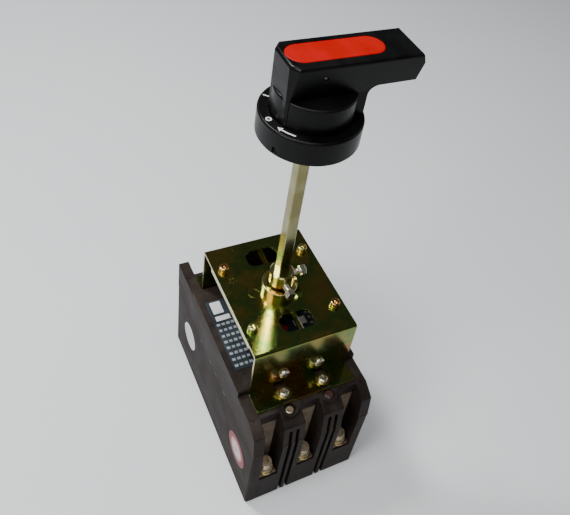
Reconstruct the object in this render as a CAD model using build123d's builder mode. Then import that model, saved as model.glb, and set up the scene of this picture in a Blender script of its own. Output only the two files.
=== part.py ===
from build123d import *
import os
from math import asin, cos, degrees, radians, sin, sqrt

os.makedirs("parts", exist_ok=True)

# A three-pole moulded-case air circuit breaker, lying on its back, with a yellow zinc
# plated rotary mechanism on top and a door handle on a square extension shaft.
# X runs across the poles, +Y is the line side, +Z points from the mounting face to
# the handle. The origin is the centre of the mounting face.

# ---------------------------------------------------------------- driving dimensions
pole_pitch = 36.0
pole_count = 3
body_length = 191.5
seam_height = 86.0          # top of the base, bottom of the cover
cover_depth = 31.0          # from the seam to the cover's shoulder
block_rise = 7.0            # raised block above the shoulder
shoulder_length = 40.75     # from the raised block to the body's end
web = 8.0                   # wall between two poles
floor_thickness = 6.0
cover_wall = 4.0
end_wall = 7.0              # wall between a pole's cavity and its terminal channel
end_depth = 23.75           # from the body's end to a pole's cavity
running_gap = 0.05          # radial clearance of a turning fit
seat_gap = 0.3              # clearance between parts that lie near each other

channel_width = 17.0        # terminal channel, open to the end and to the top
channel_depth = 48.0        # from the seam down to the channel's floor
bar_thickness = 4.0
bar_side_gap = 1.0          # between a terminal bar and the channel's side
terminal_inset = 7.75       # terminal screws from the body's end
slope_length = 16.25        # sloping part of the shoulder at the load end
nose_length = 3.75
nose_drop = 7.5             # end of the slope below the shoulder
cover_setback = 0.5         # end of the cover at the seam, inside the base's end

screw_inset = 16.75         # cover screws and the mounting holes under them
boss_radius = 7.5
mount_hole_radius = 2.75
mount_hole_depth = 20.0

bracket_width = 90.0
bracket_sheet = 2.0
bracket_rise = 48.3         # from the raised block to the top of the bracket's plate
foot_length = 16.7          # foot past the leg's outer face
foot_screw_reach = 8.7      # foot screws past the leg's outer face
slot_length = 28.0
slot_width = 17.0
slot_inset = 19.0           # slots' middles, from the raised block's end
plate_screw_x = 36.5
plate_screw_inset = 23.0
foot_notch_width = 9.0

shaft_side = 9.0            # square extension shaft
shaft_foot = 9.3            # shaft's bottom below the plate's top
journal_radius = 8.0
collar_radius = 10.0
collar_rise = 22.7          # above the plate
cup_radius = 15.0
cup_rise = 7.7

crank_radius = 16.0         # shaft axis to crank pin
crank_pin_radius = 3.0
crank_disc_rim = 3.0        # disc past the crank pin
crank_disc_drop = 11.3      # disc's underside below the plate's top
crank_disc_thickness = 3.0
slide_rise = 18.0           # slide plate's underside above the raised block
slide_plate_thickness = 3.0
slide_clearance = 0.6       # each side of the crank pin and of the toggle
guide_rod_radius = 2.5
guide_rod_x = 16.0
guide_rod_drop = 6.5        # rods' axis below the slide plate

toggle_y = 8.0              # toggle pivot
toggle_depth = 29.0         # toggle pivot below the raised block's top
toggle_past_slide = 3.0     # toggle's top above the slide plate
toggle_side_room = 5.5      # between the toggle and its frame's sheets
toggle_thickness = 8.0
toggle_pin_radius = 2.5
toggle_lean = 10.2          # degrees that the toggle leans towards the button

crossbar_rise = 12.0        # axis that the moving contacts swing about, above the bar's seat
crossbar_from_trip = 22.0   # and along Y from the trip bar
crossbar_radius = 7.5
contact_open_angle = 22.0   # moving contacts at rest, above their closed place
arm_tip_room = 32.0         # from the closed arm's tip to the cavity's end
arm_width = 8.0
arm_thickness = 6.0
contact_radius = 3.5
contact_gap_closed = 0.5
moving_contact_height = 2.2

strip_inset = 20.8          # bimetal strip from the cavity's load end
trip_from_strip = 15.2      # trip bar's axis past the strip
trip_bar_depth = 24.0       # trip bar's axis below the raised block's top
trip_bar_radius = 4.0
button_x = 3.0
button_y = -15.0
button_radius = 3.5
button_rise = 10.0          # above the raised block
button_stem_radius = 2.0

door_distance = 164.9       # from the bracket's plate to the back of the dial ring
ring_wall = 7.4             # dial ring of the door handle
ring_height = 17.2
drum_radius = 27.4          # turning drum inside the dial ring
drum_clearance = 0.6
drum_rise = 18.6            # drum's top above the dial ring
grip_rise = 25.0            # grip's top above the drum
grip_half_width = 16.8      # at the grip's top
grip_base_half = 13.0       # at the drum
grip_tail = 28.0
grip_reach = 68.0
grip_lift = 3.5             # grip's underside above the drum
insert_start = -24.5
insert_end = 43.5
insert_margin = 6.5         # between the insert and the grip's side
insert_thickness = 2.0
shaft_in_knob = 18.0        # shaft's end above the drum
fixing_inset = 3.6          # four blind fixing holes in the back of the dial ring, from its rim
fixing_hole_radius = 1.8
fixing_hole_depth = 12.0

# ---------------------------------------------------------------- worked-out places
body_width = pole_pitch * pole_count
half_width = body_width / 2
half_length = body_length / 2
poles = [(i - (pole_count - 1) / 2) * pole_pitch for i in range(pole_count)]
webs = [(a + b) / 2 for a, b in zip(poles, poles[1:])]
cavity_width = pole_pitch - web
cavity_half = cavity_width / 2
outer_wall = half_width - poles[-1] - cavity_half
cavity_end = half_length - end_depth
channel_back = cavity_end + end_wall
shoulder_height = seam_height + cover_depth
block_height = shoulder_height + block_rise
nose_height = shoulder_height - nose_drop
terminal_screw_y = half_length - terminal_inset
slope_start_y = half_length - slope_length
nose_y = half_length - nose_length
cover_end_y = half_length - cover_setback
screw_y = half_length - screw_inset
bar_seat = seam_height - channel_depth
bar_top = bar_seat + bar_thickness
bar_width = channel_width - 2 * bar_side_gap
plate_height = block_height + bracket_rise
plate_bottom = plate_height - bracket_sheet
block_end = half_length - shoulder_length
leg_outer = block_end + seat_gap + bracket_sheet
foot_end_y = leg_outer + foot_length
foot_screw_y = leg_outer + foot_screw_reach
slot_y = block_end - slot_inset
plate_screw_y = block_end - plate_screw_inset
shaft_bottom = plate_height - shaft_foot
collar_top = plate_height + collar_rise
cup_top = plate_height + cup_rise
crank_disc_radius = crank_radius + crank_pin_radius + crank_disc_rim
crank_disc_bottom = plate_height - crank_disc_drop
slide_plate_bottom = block_height + slide_rise
guide_rod_z = slide_plate_bottom - guide_rod_drop
toggle_z = block_height - toggle_depth
toggle_top = slide_plate_bottom + slide_plate_thickness + toggle_past_slide
strip_y = -(cavity_end - strip_inset)
trip_bar_y = strip_y + trip_from_strip
trip_bar_z = block_height - trip_bar_depth
crossbar_y = trip_bar_y + crossbar_from_trip
crossbar_z = bar_seat + crossbar_rise
arm_length = cavity_end - arm_tip_room - crossbar_y
button_top = block_height + button_rise
ring_bottom = plate_height + door_distance
ring_top = ring_bottom + ring_height
ring_bore = drum_radius + drum_clearance
ring_radius = ring_bore + ring_wall
drum_top = ring_top + drum_rise
grip_top = drum_top + grip_rise
grip_underside = drum_top + grip_lift
insert_width = 2 * (grip_half_width - insert_margin)
shaft_top = drum_top + shaft_in_knob
fixing_radius = ring_radius - fixing_inset
frame_half = cavity_half - 2.5          # toggle's frame between the middle pole's walls
frame_sheet = 1.5
toggle_width = 2 * (frame_half - frame_sheet - toggle_side_room)
ends = (-1, 1)


def span(pair, sign):
    """Turn a (near, far) distance pair into a low-to-high range on one side."""
    return tuple(sorted((pair[0] * sign, pair[1] * sign)))


def cuboid(x, y, z, mode=Mode.ADD):
    """Add or cut a box between the low and high values of x, y and z."""
    with Locations(((x[0] + x[1]) / 2, (y[0] + y[1]) / 2, (z[0] + z[1]) / 2)):
        Box(x[1] - x[0], y[1] - y[0], z[1] - z[0], mode=mode)


def around(centre, half):
    """Give the low and high values half a size either side of a centre."""
    return (centre - half, centre + half)


def post(places, radius, z, mode=Mode.ADD):
    """Add or cut upright cylinders at (x, y) places between two heights."""
    with Locations(*[(x, y, z[0]) for x, y in places]):
        Cylinder(radius, z[1] - z[0], align=(Align.CENTER, Align.CENTER, Align.MIN), mode=mode)


def rod_x(y, z, radius, x, mode=Mode.ADD):
    """Add or cut a cylinder along X between two x values."""
    with Locations(((x[0] + x[1]) / 2, y, z)):
        Cylinder(radius, x[1] - x[0], rotation=(0, 90, 0), mode=mode)


def rod_y(x, z, radius, y, mode=Mode.ADD):
    """Add or cut a cylinder along Y between two y values."""
    with Locations((x, (y[0] + y[1]) / 2, z)):
        Cylinder(radius, y[1] - y[0], rotation=(90, 0, 0), mode=mode)


def hexagon(places, across_flats, z, mode=Mode.ADD):
    """Add or cut upright hexagonal prisms at (x, y) places."""
    with BuildSketch(Plane.XY.offset(z[0])) as outline:
        with Locations(*places):
            RegularPolygon(across_flats / 2, 6, major_radius=False)
    extrude(outline.sketch, amount=z[1] - z[0], mode=mode)


def save(part, label):
    """Label a finished piece and write its STEP file."""
    part.label = label
    export_step(part, f"parts/{label}.step")


terminal_places = [(x, s * terminal_screw_y) for s in ends for x in poles]
web_places = [(x, s * screw_y) for s in ends for x in webs]

# ---------------------------------------------------------------- base housing
groove_half = 1.5           # two grooves per column that take a phase barrier's edges
groove_offset = 3.1
groove_depth = 6.0
screen_thickness = 1.5
screen_edge = 2.0           # screen in its groove, each side of the channel
screen_width = channel_width + 2 * screen_edge
screen_y = channel_back - 2.6
screen_top = nose_height - 8.5
screen_fit = 0.25
contact_edge = 0.5          # arm past the contact's rim
contact_reach = arm_length - contact_radius - contact_edge
fixed_contact_y = crossbar_y + contact_reach
bar_past_contact = 2.25     # line bar past the fixed contact's rim
bar_inner_line = fixed_contact_y - contact_radius - bar_past_contact
yoke_y = (strip_y + 1.6, strip_y + 7.2)
pocket_front = yoke_y[1]    # the deep pocket under the moving contacts
pocket_rear = bar_inner_line - 2.25
cover_screw_radius = 2.0
cover_screw_tip = seam_height - 24.0
tip_room = 2.0              # empty hole past a screw's tip
stub_radius = 2.5           # pivot stubs at the crossbar's ends
stub_length = 2.4
trip_stub_radius = 2.0
stub_seat = (half_width - outer_wall, half_width - outer_wall + stub_length + seat_gap)
crossbar_room = 2.5         # round the crossbar where it passes a web
base_corner = 2.0
base_edge = 0.8
insert_hole_radius = 3.2    # blind hole for a terminal screw's shank
insert_hole_depth = 10.0

with BuildPart() as base_housing:
    cuboid((-half_width, half_width), (-half_length, half_length), (0, seam_height))
    fillet(base_housing.edges().filter_by(Axis.Z), radius=base_corner)
    chamfer(base_housing.faces().sort_by(Axis.Z)[0].edges(), length=base_edge)
    for x in poles:
        cuboid(around(x, cavity_half), (-cavity_end, cavity_end),
               (bar_seat, seam_height), Mode.SUBTRACT)
        cuboid(around(x, cavity_half), (pocket_front, pocket_rear),
               (floor_thickness, seam_height), Mode.SUBTRACT)
        for s in ends:
            cuboid(around(x, channel_width / 2), span((cavity_end, half_length), s),
                   (bar_seat, seam_height), Mode.SUBTRACT)
            cuboid(around(x, screen_width / 2 + screen_fit),
                   around(s * screen_y, screen_thickness / 2 + screen_fit),
                   (bar_seat, seam_height), Mode.SUBTRACT)
    for x in webs:
        cuboid(around(x, web / 2), around(crossbar_y, crossbar_radius + crossbar_room),
               (crossbar_z - crossbar_radius - crossbar_room, seam_height), Mode.SUBTRACT)
        for s in ends:
            for side in ends:
                cuboid(around(x + side * groove_offset, groove_half),
                       span((half_length - groove_depth, half_length), s),
                       (0, seam_height), Mode.SUBTRACT)
    for s in ends:
        cuboid(span(stub_seat, s), around(crossbar_y, stub_radius + running_gap),
               (crossbar_z, seam_height), Mode.SUBTRACT)
        rod_x(crossbar_y, crossbar_z, stub_radius + running_gap, span(stub_seat, s),
              Mode.SUBTRACT)
    post(web_places, mount_hole_radius, (0, mount_hole_depth), Mode.SUBTRACT)
    post(web_places, cover_screw_radius + running_gap, (cover_screw_tip - tip_room, seam_height),
         Mode.SUBTRACT)
    post(terminal_places, insert_hole_radius, (bar_seat - insert_hole_depth, bar_seat),
         Mode.SUBTRACT)
save(base_housing.part, "base_housing")

# ---------------------------------------------------------------- cover housing
cover_screw_head_seat = shoulder_height - 5.0
cover_recess_radius = 4.8
toggle_slot_half = toggle_thickness / 2 + 7.6
toggle_slot_width = toggle_width + 2.0
guide_bottom = trip_bar_z + 6.0         # bottom of the push button's guide tube
guide_floor = 2.0
guide_inner = button_radius + 2.0
guide_outer = guide_inner + 1.5
block_inner_end = block_end - cover_wall
lug_thickness = 1.5         # lugs of the mechanism frame, clamped in the seam
lug_range_y = around(toggle_y, 6.0)
lug_reach = 4.0
foot_screw_radius = 2.0
foot_screw_tip = shoulder_height - 19.0
cut_overlap = 1.0
cover_rim = 1.2
nose_round = 3.0
screen_lintel = 2.0         # web of the cover over a fibre screen
groove_lead = 2.0           # the end slopes, so the cover's grooves start further in
groove_head = 6.0           # the grooves stop this far below the nose
trip_room = 1.5
trip_headroom = 2.0

with BuildPart() as cover_housing:
    with BuildSketch(Plane.YZ.offset(-half_width)):
        with BuildLine():
            Polyline(
                (-cover_end_y, seam_height), (-nose_y, nose_height),
                (-slope_start_y, shoulder_height), (-block_end, shoulder_height),
                (-block_end, block_height), (block_end, block_height),
                (block_end, shoulder_height), (cover_end_y, shoulder_height),
                (cover_end_y, seam_height), close=True,
            )
        make_face()
    extrude(amount=body_width)
    chamfer(cover_housing.faces().sort_by(Axis.Z)[-1].edges(), length=cover_rim)
    fillet(cover_housing.edges().filter_by(Axis.X).filter_by(
        lambda e: abs(e.center().Z - nose_height) < 0.1), radius=nose_round)
    post(web_places, boss_radius, (seam_height, shoulder_height))
    for x in poles:
        cuboid(around(x, cavity_half), (-cavity_end, cavity_end),
               (seam_height, shoulder_height - cover_wall), Mode.SUBTRACT)
        cuboid(around(x, cavity_half), (-block_inner_end, block_inner_end),
               (seam_height, block_height - cover_wall), Mode.SUBTRACT)
        for s in ends:
            cuboid(around(x, channel_width / 2), span((channel_back, half_length), s),
                   (seam_height, shoulder_height), Mode.SUBTRACT)
            cuboid(around(x, channel_width / 2),
                   span((cavity_end - cut_overlap, channel_back + cut_overlap), s),
                   (seam_height, nose_height - screen_lintel), Mode.SUBTRACT)
            cuboid(around(x, screen_width / 2 + screen_fit),
                   around(s * screen_y, screen_thickness / 2 + screen_fit),
                   (seam_height, screen_top + screen_fit), Mode.SUBTRACT)
    for x in webs:
        cuboid(around(x, web / 2), around(trip_bar_y, trip_bar_radius + trip_room),
               (seam_height, trip_bar_z + trip_bar_radius + trip_headroom), Mode.SUBTRACT)
        for s in ends:
            for side in ends:
                cuboid(around(x + side * groove_offset, groove_half),
                       span((half_length - groove_depth - groove_lead, half_length), s),
                       (seam_height, nose_height - groove_head), Mode.SUBTRACT)
    for s in ends:
        cuboid(span(stub_seat, s), around(trip_bar_y, trip_stub_radius + running_gap),
               (seam_height, trip_bar_z), Mode.SUBTRACT)
        rod_x(trip_bar_y, trip_bar_z, trip_stub_radius + running_gap, span(stub_seat, s),
              Mode.SUBTRACT)
        cuboid(span((cavity_half, cavity_half + lug_reach + seat_gap), s),
               (lug_range_y[0] - seat_gap, lug_range_y[1] + seat_gap),
               (seam_height, seam_height + lug_thickness), Mode.SUBTRACT)
    post([(button_x, button_y)], guide_outer, (guide_bottom, block_height - cover_wall))
    post([(button_x, button_y)], guide_inner,
         (guide_bottom + guide_floor, block_height - cover_wall), Mode.SUBTRACT)
    post([(button_x, button_y)], button_stem_radius + seat_gap,
         (guide_bottom, guide_bottom + guide_floor), Mode.SUBTRACT)
    post([(button_x, button_y)], button_radius + seat_gap,
         (block_height - cover_wall, block_height), Mode.SUBTRACT)
    cuboid(around(0, toggle_slot_width / 2), around(toggle_y, toggle_slot_half),
           (block_height - cover_wall, block_height), Mode.SUBTRACT)
    post(web_places, cover_recess_radius, (cover_screw_head_seat, shoulder_height), Mode.SUBTRACT)
    post(web_places, cover_screw_radius + running_gap, (seam_height, cover_screw_head_seat),
         Mode.SUBTRACT)
    post([(x, s * foot_screw_y) for s in ends for x in webs],
         foot_screw_radius + running_gap, (foot_screw_tip, shoulder_height), Mode.SUBTRACT)
save(cover_housing.part, "cover_housing")

# ---------------------------------------------------------------- nameplate and stickers
nameplate_thickness = 0.6
nameplate_x = around(0, half_width - 5.0)
nameplate_y = (-block_end + 19.5, block_end - 16.5)
toggle_window = 2.0         # plate's window past the toggle slot
button_window = 1.2
sticker_thickness = 0.3

with BuildPart() as nameplate:
    cuboid(nameplate_x, nameplate_y, (block_height, block_height + nameplate_thickness))
    cuboid(around(0, toggle_slot_width / 2 + toggle_window),
           around(toggle_y, toggle_slot_half + toggle_window),
           (block_height, block_height + nameplate_thickness), Mode.SUBTRACT)
    post([(button_x, button_y)], button_radius + button_window,
         (block_height, block_height + nameplate_thickness), Mode.SUBTRACT)
save(nameplate.part, "nameplate")

for label, place_y, place_z, radius in (
    ("round_sticker", half_length - 37.75, seam_height - 36.0, 14.3),
    ("ring_sticker", 29.75 - half_length, seam_height - 38.5, 16.8),
):
    with BuildPart() as sticker:
        rod_x(place_y, place_z, radius, (-half_width - sticker_thickness, -half_width))
    save(sticker.part, label)

# ---------------------------------------------------------------- terminals
terminal_shank_radius = 2.9
flat_washer = (channel_width / 2 - 1.1, 1.6)    # radius, thickness
spring_washer = (6.6, 1.8)
terminal_head = (5.0, 8.5)
flat_top = bar_top + flat_washer[1]
spring_top = flat_top + spring_washer[1]
head_top = spring_top + terminal_head[1]
bar_end_inset = 1.5
bar_end_y = half_length - bar_end_inset
bar_inner_load = strip_y - 7.05
split_half = 0.5            # half the gap in a spring washer
terminal_shank = 8.0        # length of shank below the bar's seat
socket_flats = 5.0
socket_depth = 4.0

for label, sign, inner in (("terminal_bars_load", -1, -bar_inner_load),
                           ("terminal_bars_line", 1, bar_inner_line)):
    with BuildPart() as bars:
        for x in poles:
            cuboid(around(x, bar_width / 2), span((inner, bar_end_y), sign),
                   (bar_seat, bar_top))
        post([(x, sign * terminal_screw_y) for x in poles],
             terminal_shank_radius + running_gap, (bar_seat, bar_top), Mode.SUBTRACT)
    save(bars.part, label)

with BuildPart() as terminal_flat_washers:
    post(terminal_places, flat_washer[0], (bar_top, flat_top))
    post(terminal_places, terminal_shank_radius + running_gap, (bar_top, flat_top), Mode.SUBTRACT)
save(terminal_flat_washers.part, "terminal_flat_washers")

with BuildPart() as terminal_spring_washers:
    post(terminal_places, spring_washer[0], (flat_top, spring_top))
    post(terminal_places, terminal_shank_radius + running_gap, (flat_top, spring_top), Mode.SUBTRACT)
    for x, y in terminal_places:
        cuboid((x, x + spring_washer[0]), around(y, split_half), (flat_top, spring_top),
               Mode.SUBTRACT)
save(terminal_spring_washers.part, "terminal_spring_washers")

with BuildPart() as terminal_screws:
    post(terminal_places, terminal_shank_radius, (bar_seat - terminal_shank, spring_top))
    post(terminal_places, terminal_head[0], (spring_top, head_top))
    hexagon(terminal_places, socket_flats, (head_top - socket_depth, head_top), Mode.SUBTRACT)
save(terminal_screws.part, "terminal_screws")

with BuildPart() as fibre_screens:
    for x in poles:
        for s in ends:
            cuboid(around(x, screen_width / 2), around(s * screen_y, screen_thickness / 2),
                   (bar_top, screen_top))
save(fibre_screens.part, "fibre_screens")

# ---------------------------------------------------------------- fixed contacts and arc chutes
fixed_contact_top = crossbar_z - arm_thickness / 2 - moving_contact_height - contact_gap_closed
frame_y = (toggle_y - 16.0, toggle_y + 16.0)
chute_y = (frame_y[1] + 3.0, cavity_end - 4.0)
chute_sheet = 1.5
chute_pitch = 5.5
chute_count = 9
chute_bottom = bar_seat + 12.0
chute_notch_half = 6.5
chute_notch_end = fixed_contact_y + 10.0
chute_side = 1.0
chute_half = cavity_half - chute_side - 0.5

with BuildPart() as fixed_contacts:
    post([(x, fixed_contact_y) for x in poles], contact_radius, (bar_top, fixed_contact_top))
save(fixed_contacts.part, "fixed_contacts")

with BuildPart() as arc_plates:
    for i in range(chute_count):
        low = chute_bottom + i * chute_pitch
        for x in poles:
            cuboid(around(x, chute_half), chute_y, (low, low + chute_sheet))
            cuboid(around(x, chute_notch_half), (chute_y[0], chute_notch_end),
                   (low, low + chute_sheet), Mode.SUBTRACT)
save(arc_plates.part, "arc_plates")

with BuildPart() as arc_chute_sides:
    for x in poles:
        for s in ends:
            cuboid(around(x + s * (chute_half + chute_side / 2), chute_side / 2), chute_y,
                   (bar_seat, chute_bottom + chute_count * chute_pitch))
save(arc_chute_sides.part, "arc_chute_sides")

# ---------------------------------------------------------------- trip unit
strip_width = 10.0
strip_thickness = 1.2
strip_top = seam_height + 6.0
strip_foot = 4.0            # the strip's foot on the load terminal bar
yoke_sheet = 2.0
yoke_half = 7.4
yoke_top = bar_seat + 22.0

with BuildPart() as bimetal_strips:
    for x in poles:
        cuboid(around(x, strip_width / 2), (bar_inner_load - strip_foot, strip_y + strip_thickness),
               (bar_top, bar_top + strip_thickness))
        cuboid(around(x, strip_width / 2), (strip_y, strip_y + strip_thickness),
               (bar_top, strip_top))
save(bimetal_strips.part, "bimetal_strips")

with BuildPart() as magnet_yokes:
    for x in poles:
        cuboid(around(x, yoke_half), yoke_y, (bar_seat, yoke_top))
        cuboid(around(x, yoke_half - yoke_sheet), (yoke_y[0] + yoke_sheet, yoke_y[1]),
               (bar_seat + yoke_sheet, yoke_top), Mode.SUBTRACT)
save(magnet_yokes.part, "magnet_yokes")

finger_half = 4.0
finger_top = trip_bar_z + trip_bar_radius
finger_sheet = 2.0
armature_width = 12.0
armature_sheet = 1.5
armature_bottom = bar_seat + 8.0
end_play = 0.5
bar_span = half_width - outer_wall - end_play
finger_end = 3.0            # finger past the button's axis

with BuildPart() as trip_bar:
    rod_x(trip_bar_y, trip_bar_z, trip_bar_radius, (-bar_span, bar_span))
    rod_x(trip_bar_y, trip_bar_z, trip_stub_radius, (-bar_span - stub_length, bar_span + stub_length))
    cuboid(around(button_x, finger_half), (trip_bar_y, button_y + finger_end),
           (finger_top - finger_sheet, finger_top))
save(trip_bar.part, "trip_bar")

with BuildPart() as armatures:
    for x in poles:
        cuboid(around(x, armature_width / 2), around(trip_bar_y, armature_sheet / 2),
               (armature_bottom, trip_bar_z - trip_bar_radius))
save(armatures.part, "armatures")

flange_radius = guide_inner - 0.5
flange_high = block_height - cover_wall - 0.5
flange_low = flange_high - 2.5
stem_low = finger_top + seat_gap
button_round = 0.8

with BuildPart() as trip_button:
    post([(button_x, button_y)], button_radius, (flange_high, button_top))
    fillet(trip_button.faces().sort_by(Axis.Z)[-1].edges(), radius=button_round)
    post([(button_x, button_y)], flange_radius, (flange_low, flange_high))
    post([(button_x, button_y)], button_stem_radius, (stem_low, flange_low))
save(trip_button.part, "trip_button")

spring_wire = 0.35
spring_coil = guide_inner - 1.9
spring_low = guide_bottom + guide_floor
spring_turns = 4
spring_height = flange_low - spring_low - 4 * spring_wire

with BuildPart() as button_spring:
    with BuildLine() as coil:
        Helix(pitch=spring_height / spring_turns, height=spring_height, radius=spring_coil,
              center=(button_x, button_y, spring_low + 2 * spring_wire))
    with BuildSketch(Plane(origin=coil.line @ 0, z_dir=coil.line % 0)):
        Circle(spring_wire)
    sweep(is_frenet=True)
save(button_spring.part, "button_spring")

# ---------------------------------------------------------------- crossbar and moving contacts
def swing_axis(angle):
    """Give the frame of the crossbar turned by an angle above the closed place."""
    return Plane(origin=(0, crossbar_y, crossbar_z), x_dir=(1, 0, 0),
                 z_dir=(0, -sin(radians(angle)), cos(radians(angle))))


open_frame = swing_axis(contact_open_angle)
arm_socket = 2.5            # how far the arm's root stands behind the axis

with BuildPart() as crossbar:
    rod_x(crossbar_y, crossbar_z, crossbar_radius, (-bar_span, bar_span))
    rod_x(crossbar_y, crossbar_z, stub_radius, (-bar_span - stub_length, bar_span + stub_length))
    with BuildSketch(open_frame.offset(-arm_thickness / 2)):
        with Locations(*[(x, arm_length / 2 - arm_socket) for x in poles]):
            Rectangle(arm_width, arm_length)
    extrude(amount=arm_thickness, mode=Mode.SUBTRACT)
save(crossbar.part, "crossbar")

with BuildPart() as contact_arms:
    with BuildSketch(open_frame.offset(-arm_thickness / 2)):
        with Locations(*[(x, (arm_length - arm_socket) / 2) for x in poles]):
            Rectangle(arm_width, arm_length + arm_socket)
    extrude(amount=arm_thickness)
save(contact_arms.part, "contact_arms")

with BuildPart() as moving_contacts:
    with BuildSketch(open_frame.offset(-arm_thickness / 2 - moving_contact_height)):
        with Locations(*[(x, contact_reach) for x in poles]):
            Circle(contact_radius)
    extrude(amount=moving_contact_height)
save(moving_contacts.part, "moving_contacts")

# ---------------------------------------------------------------- toggle and its frame
frame_z = (toggle_z - 35.0, toggle_z + 15.0)
cross_low = toggle_z - 20.0
shield_sheet = 1.2
shield_radius = block_height - cover_wall - seat_gap - shield_sheet - toggle_z
shield_rear_angle = 38.0
shield_room = 1.0           # between the leaning shield and the button's guide tube
shield_front_angle = degrees(asin((toggle_y - button_y - guide_outer - shield_room)
                                  / (shield_radius + shield_sheet))) - toggle_lean
shield_half_width = frame_half - frame_sheet - 2.0
hub_radius = 6.0
pin_overhang = 1.5
toggle_round = 1.2

with BuildPart() as mechanism_frame:
    for s in ends:
        cuboid(span((frame_half - frame_sheet, frame_half), s), frame_y, frame_z)
        cuboid(span((frame_half - frame_sheet, cavity_half + lug_reach), s), lug_range_y,
               (seam_height, seam_height + lug_thickness))
    cuboid((-frame_half, frame_half), (frame_y[0], frame_y[0] + frame_sheet),
           (cross_low, frame_z[1]))
    rod_x(toggle_y, toggle_z, toggle_pin_radius + running_gap, (-frame_half, frame_half),
          Mode.SUBTRACT)
save(mechanism_frame.part, "mechanism_frame")

with BuildPart() as toggle_pin:
    rod_x(toggle_y, toggle_z, toggle_pin_radius, (-frame_half - pin_overhang, frame_half + pin_overhang))
save(toggle_pin.part, "toggle_pin")

with BuildPart() as toggle_lever:
    cuboid(around(0, toggle_width / 2), around(toggle_y, toggle_thickness / 2),
           (toggle_z, toggle_top))
    fillet(toggle_lever.faces().sort_by(Axis.Z)[-1].edges(), radius=toggle_round)
    rod_x(toggle_y, toggle_z, hub_radius, (-toggle_width / 2, toggle_width / 2))
    with BuildSketch(Plane.YZ.offset(-shield_half_width)):
        with BuildLine():
            arc_in = CenterArc((toggle_y, toggle_z), shield_radius,
                               90 - shield_rear_angle, shield_rear_angle + shield_front_angle)
            arc_out = CenterArc((toggle_y, toggle_z), shield_radius + shield_sheet,
                                90 - shield_rear_angle, shield_rear_angle + shield_front_angle)
            Line(arc_in @ 0, arc_out @ 0)
            Line(arc_in @ 1, arc_out @ 1)
        make_face()
    extrude(amount=2 * shield_half_width)
    rod_x(toggle_y, toggle_z, toggle_pin_radius + running_gap,
          (-toggle_width, toggle_width), Mode.SUBTRACT)
save(toggle_lever.part, "toggle_lever")

main_spring_radius = 2.2
main_spring_x = toggle_width / 2 + main_spring_radius + 0.5
main_spring_low = toggle_z - 15.0
main_spring_top = toggle_z - toggle_pin_radius - seat_gap
spring_rod_radius = 1.2
spring_wall = 0.8

with BuildPart() as main_springs:
    post([(s * main_spring_x, toggle_y) for s in ends], main_spring_radius,
         (main_spring_low, main_spring_top))
    post([(s * main_spring_x, toggle_y) for s in ends], main_spring_radius - spring_wall,
         (main_spring_low, main_spring_top), Mode.SUBTRACT)
save(main_springs.part, "main_springs")

link_half = toggle_width / 2 - 0.5
link_end = 0.6              # link below the rod that carries the springs
link_half_thickness = 2.0
link_low = main_spring_low - seat_gap - 2 * spring_rod_radius - link_end
with BuildPart() as spring_link:
    cuboid(around(0, link_half), around(toggle_y, link_half_thickness),
           (link_low, toggle_z - hub_radius - seat_gap))
    rod_x(toggle_y, main_spring_low - seat_gap - spring_rod_radius, spring_rod_radius,
          around(0, main_spring_x + main_spring_radius))
save(spring_link.part, "spring_link")

# ---------------------------------------------------------------- cover screws, seal and pins
head_radius = 4.2
head_height = 2.8
seal_thickness = 1.6
recess_width = 1.0
recess_depth = 1.4
head_round = 1.5
recess_reach = 1.2          # cross recess's length over the head's radius


def cross_recess(places, top):
    """Cut a cross recess into screw heads whose tops are at one height."""
    for x, y in places:
        for size in ((head_radius * recess_reach, recess_width),
                     (recess_width, head_radius * recess_reach)):
            cuboid(around(x, size[0] / 2), around(y, size[1] / 2),
                   (top - recess_depth, top), Mode.SUBTRACT)


def pan_screw(builder, places, shank_radius, seat, tip):
    """Add pan-head screws that bear on a seat height, with rounded, recessed heads."""
    post(places, shank_radius, (tip, seat))
    post(places, head_radius, (seat, seat + head_height))
    fillet(builder.faces().group_by(Axis.Z)[-1].edges(), radius=head_round)
    cross_recess(places, seat + head_height)


with BuildPart() as cover_screws:
    pan_screw(cover_screws, web_places, cover_screw_radius, cover_screw_head_seat, cover_screw_tip)
save(cover_screws.part, "cover_screws")

with BuildPart() as wax_seal:
    post([(webs[-1], -screw_y)], cover_recess_radius - seat_gap,
         (cover_screw_head_seat + head_height, cover_screw_head_seat + head_height + seal_thickness))
save(wax_seal.part, "wax_seal")

pin_inset = 3.4
pin_y = foot_end_y + 3.0
corner_pin = (2.0, 0.6)     # radius, height
pin_places = [(sx * (half_width - pin_inset), sy * pin_y) for sx in ends for sy in ends]
with BuildPart() as corner_pins:
    post(pin_places, corner_pin[0], (shoulder_height, shoulder_height + corner_pin[1]))
save(corner_pins.part, "corner_pins")

# ---------------------------------------------------------------- bracket
bend_radius = 2.5
notch_top = shoulder_height + 4.0
foot_top = shoulder_height + bracket_sheet
neck_radius = journal_radius + 2.4      # bearing cup's neck through the plate
leg_half = bracket_width / 2
plate_screw_places = [(sx * plate_screw_x, sy * plate_screw_y) for sy in ends for sx in ends]
foot_screw_places = [(x, s * foot_screw_y) for s in ends for x in webs]
plate_screw_radius = 2.0
screw_fit = 0.2             # radial clearance of a screw in a sheet or washer
slot_corner = 6.0
rivet_waist = 0.8           # guide rod's end through the leg over the rod's radius

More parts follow.
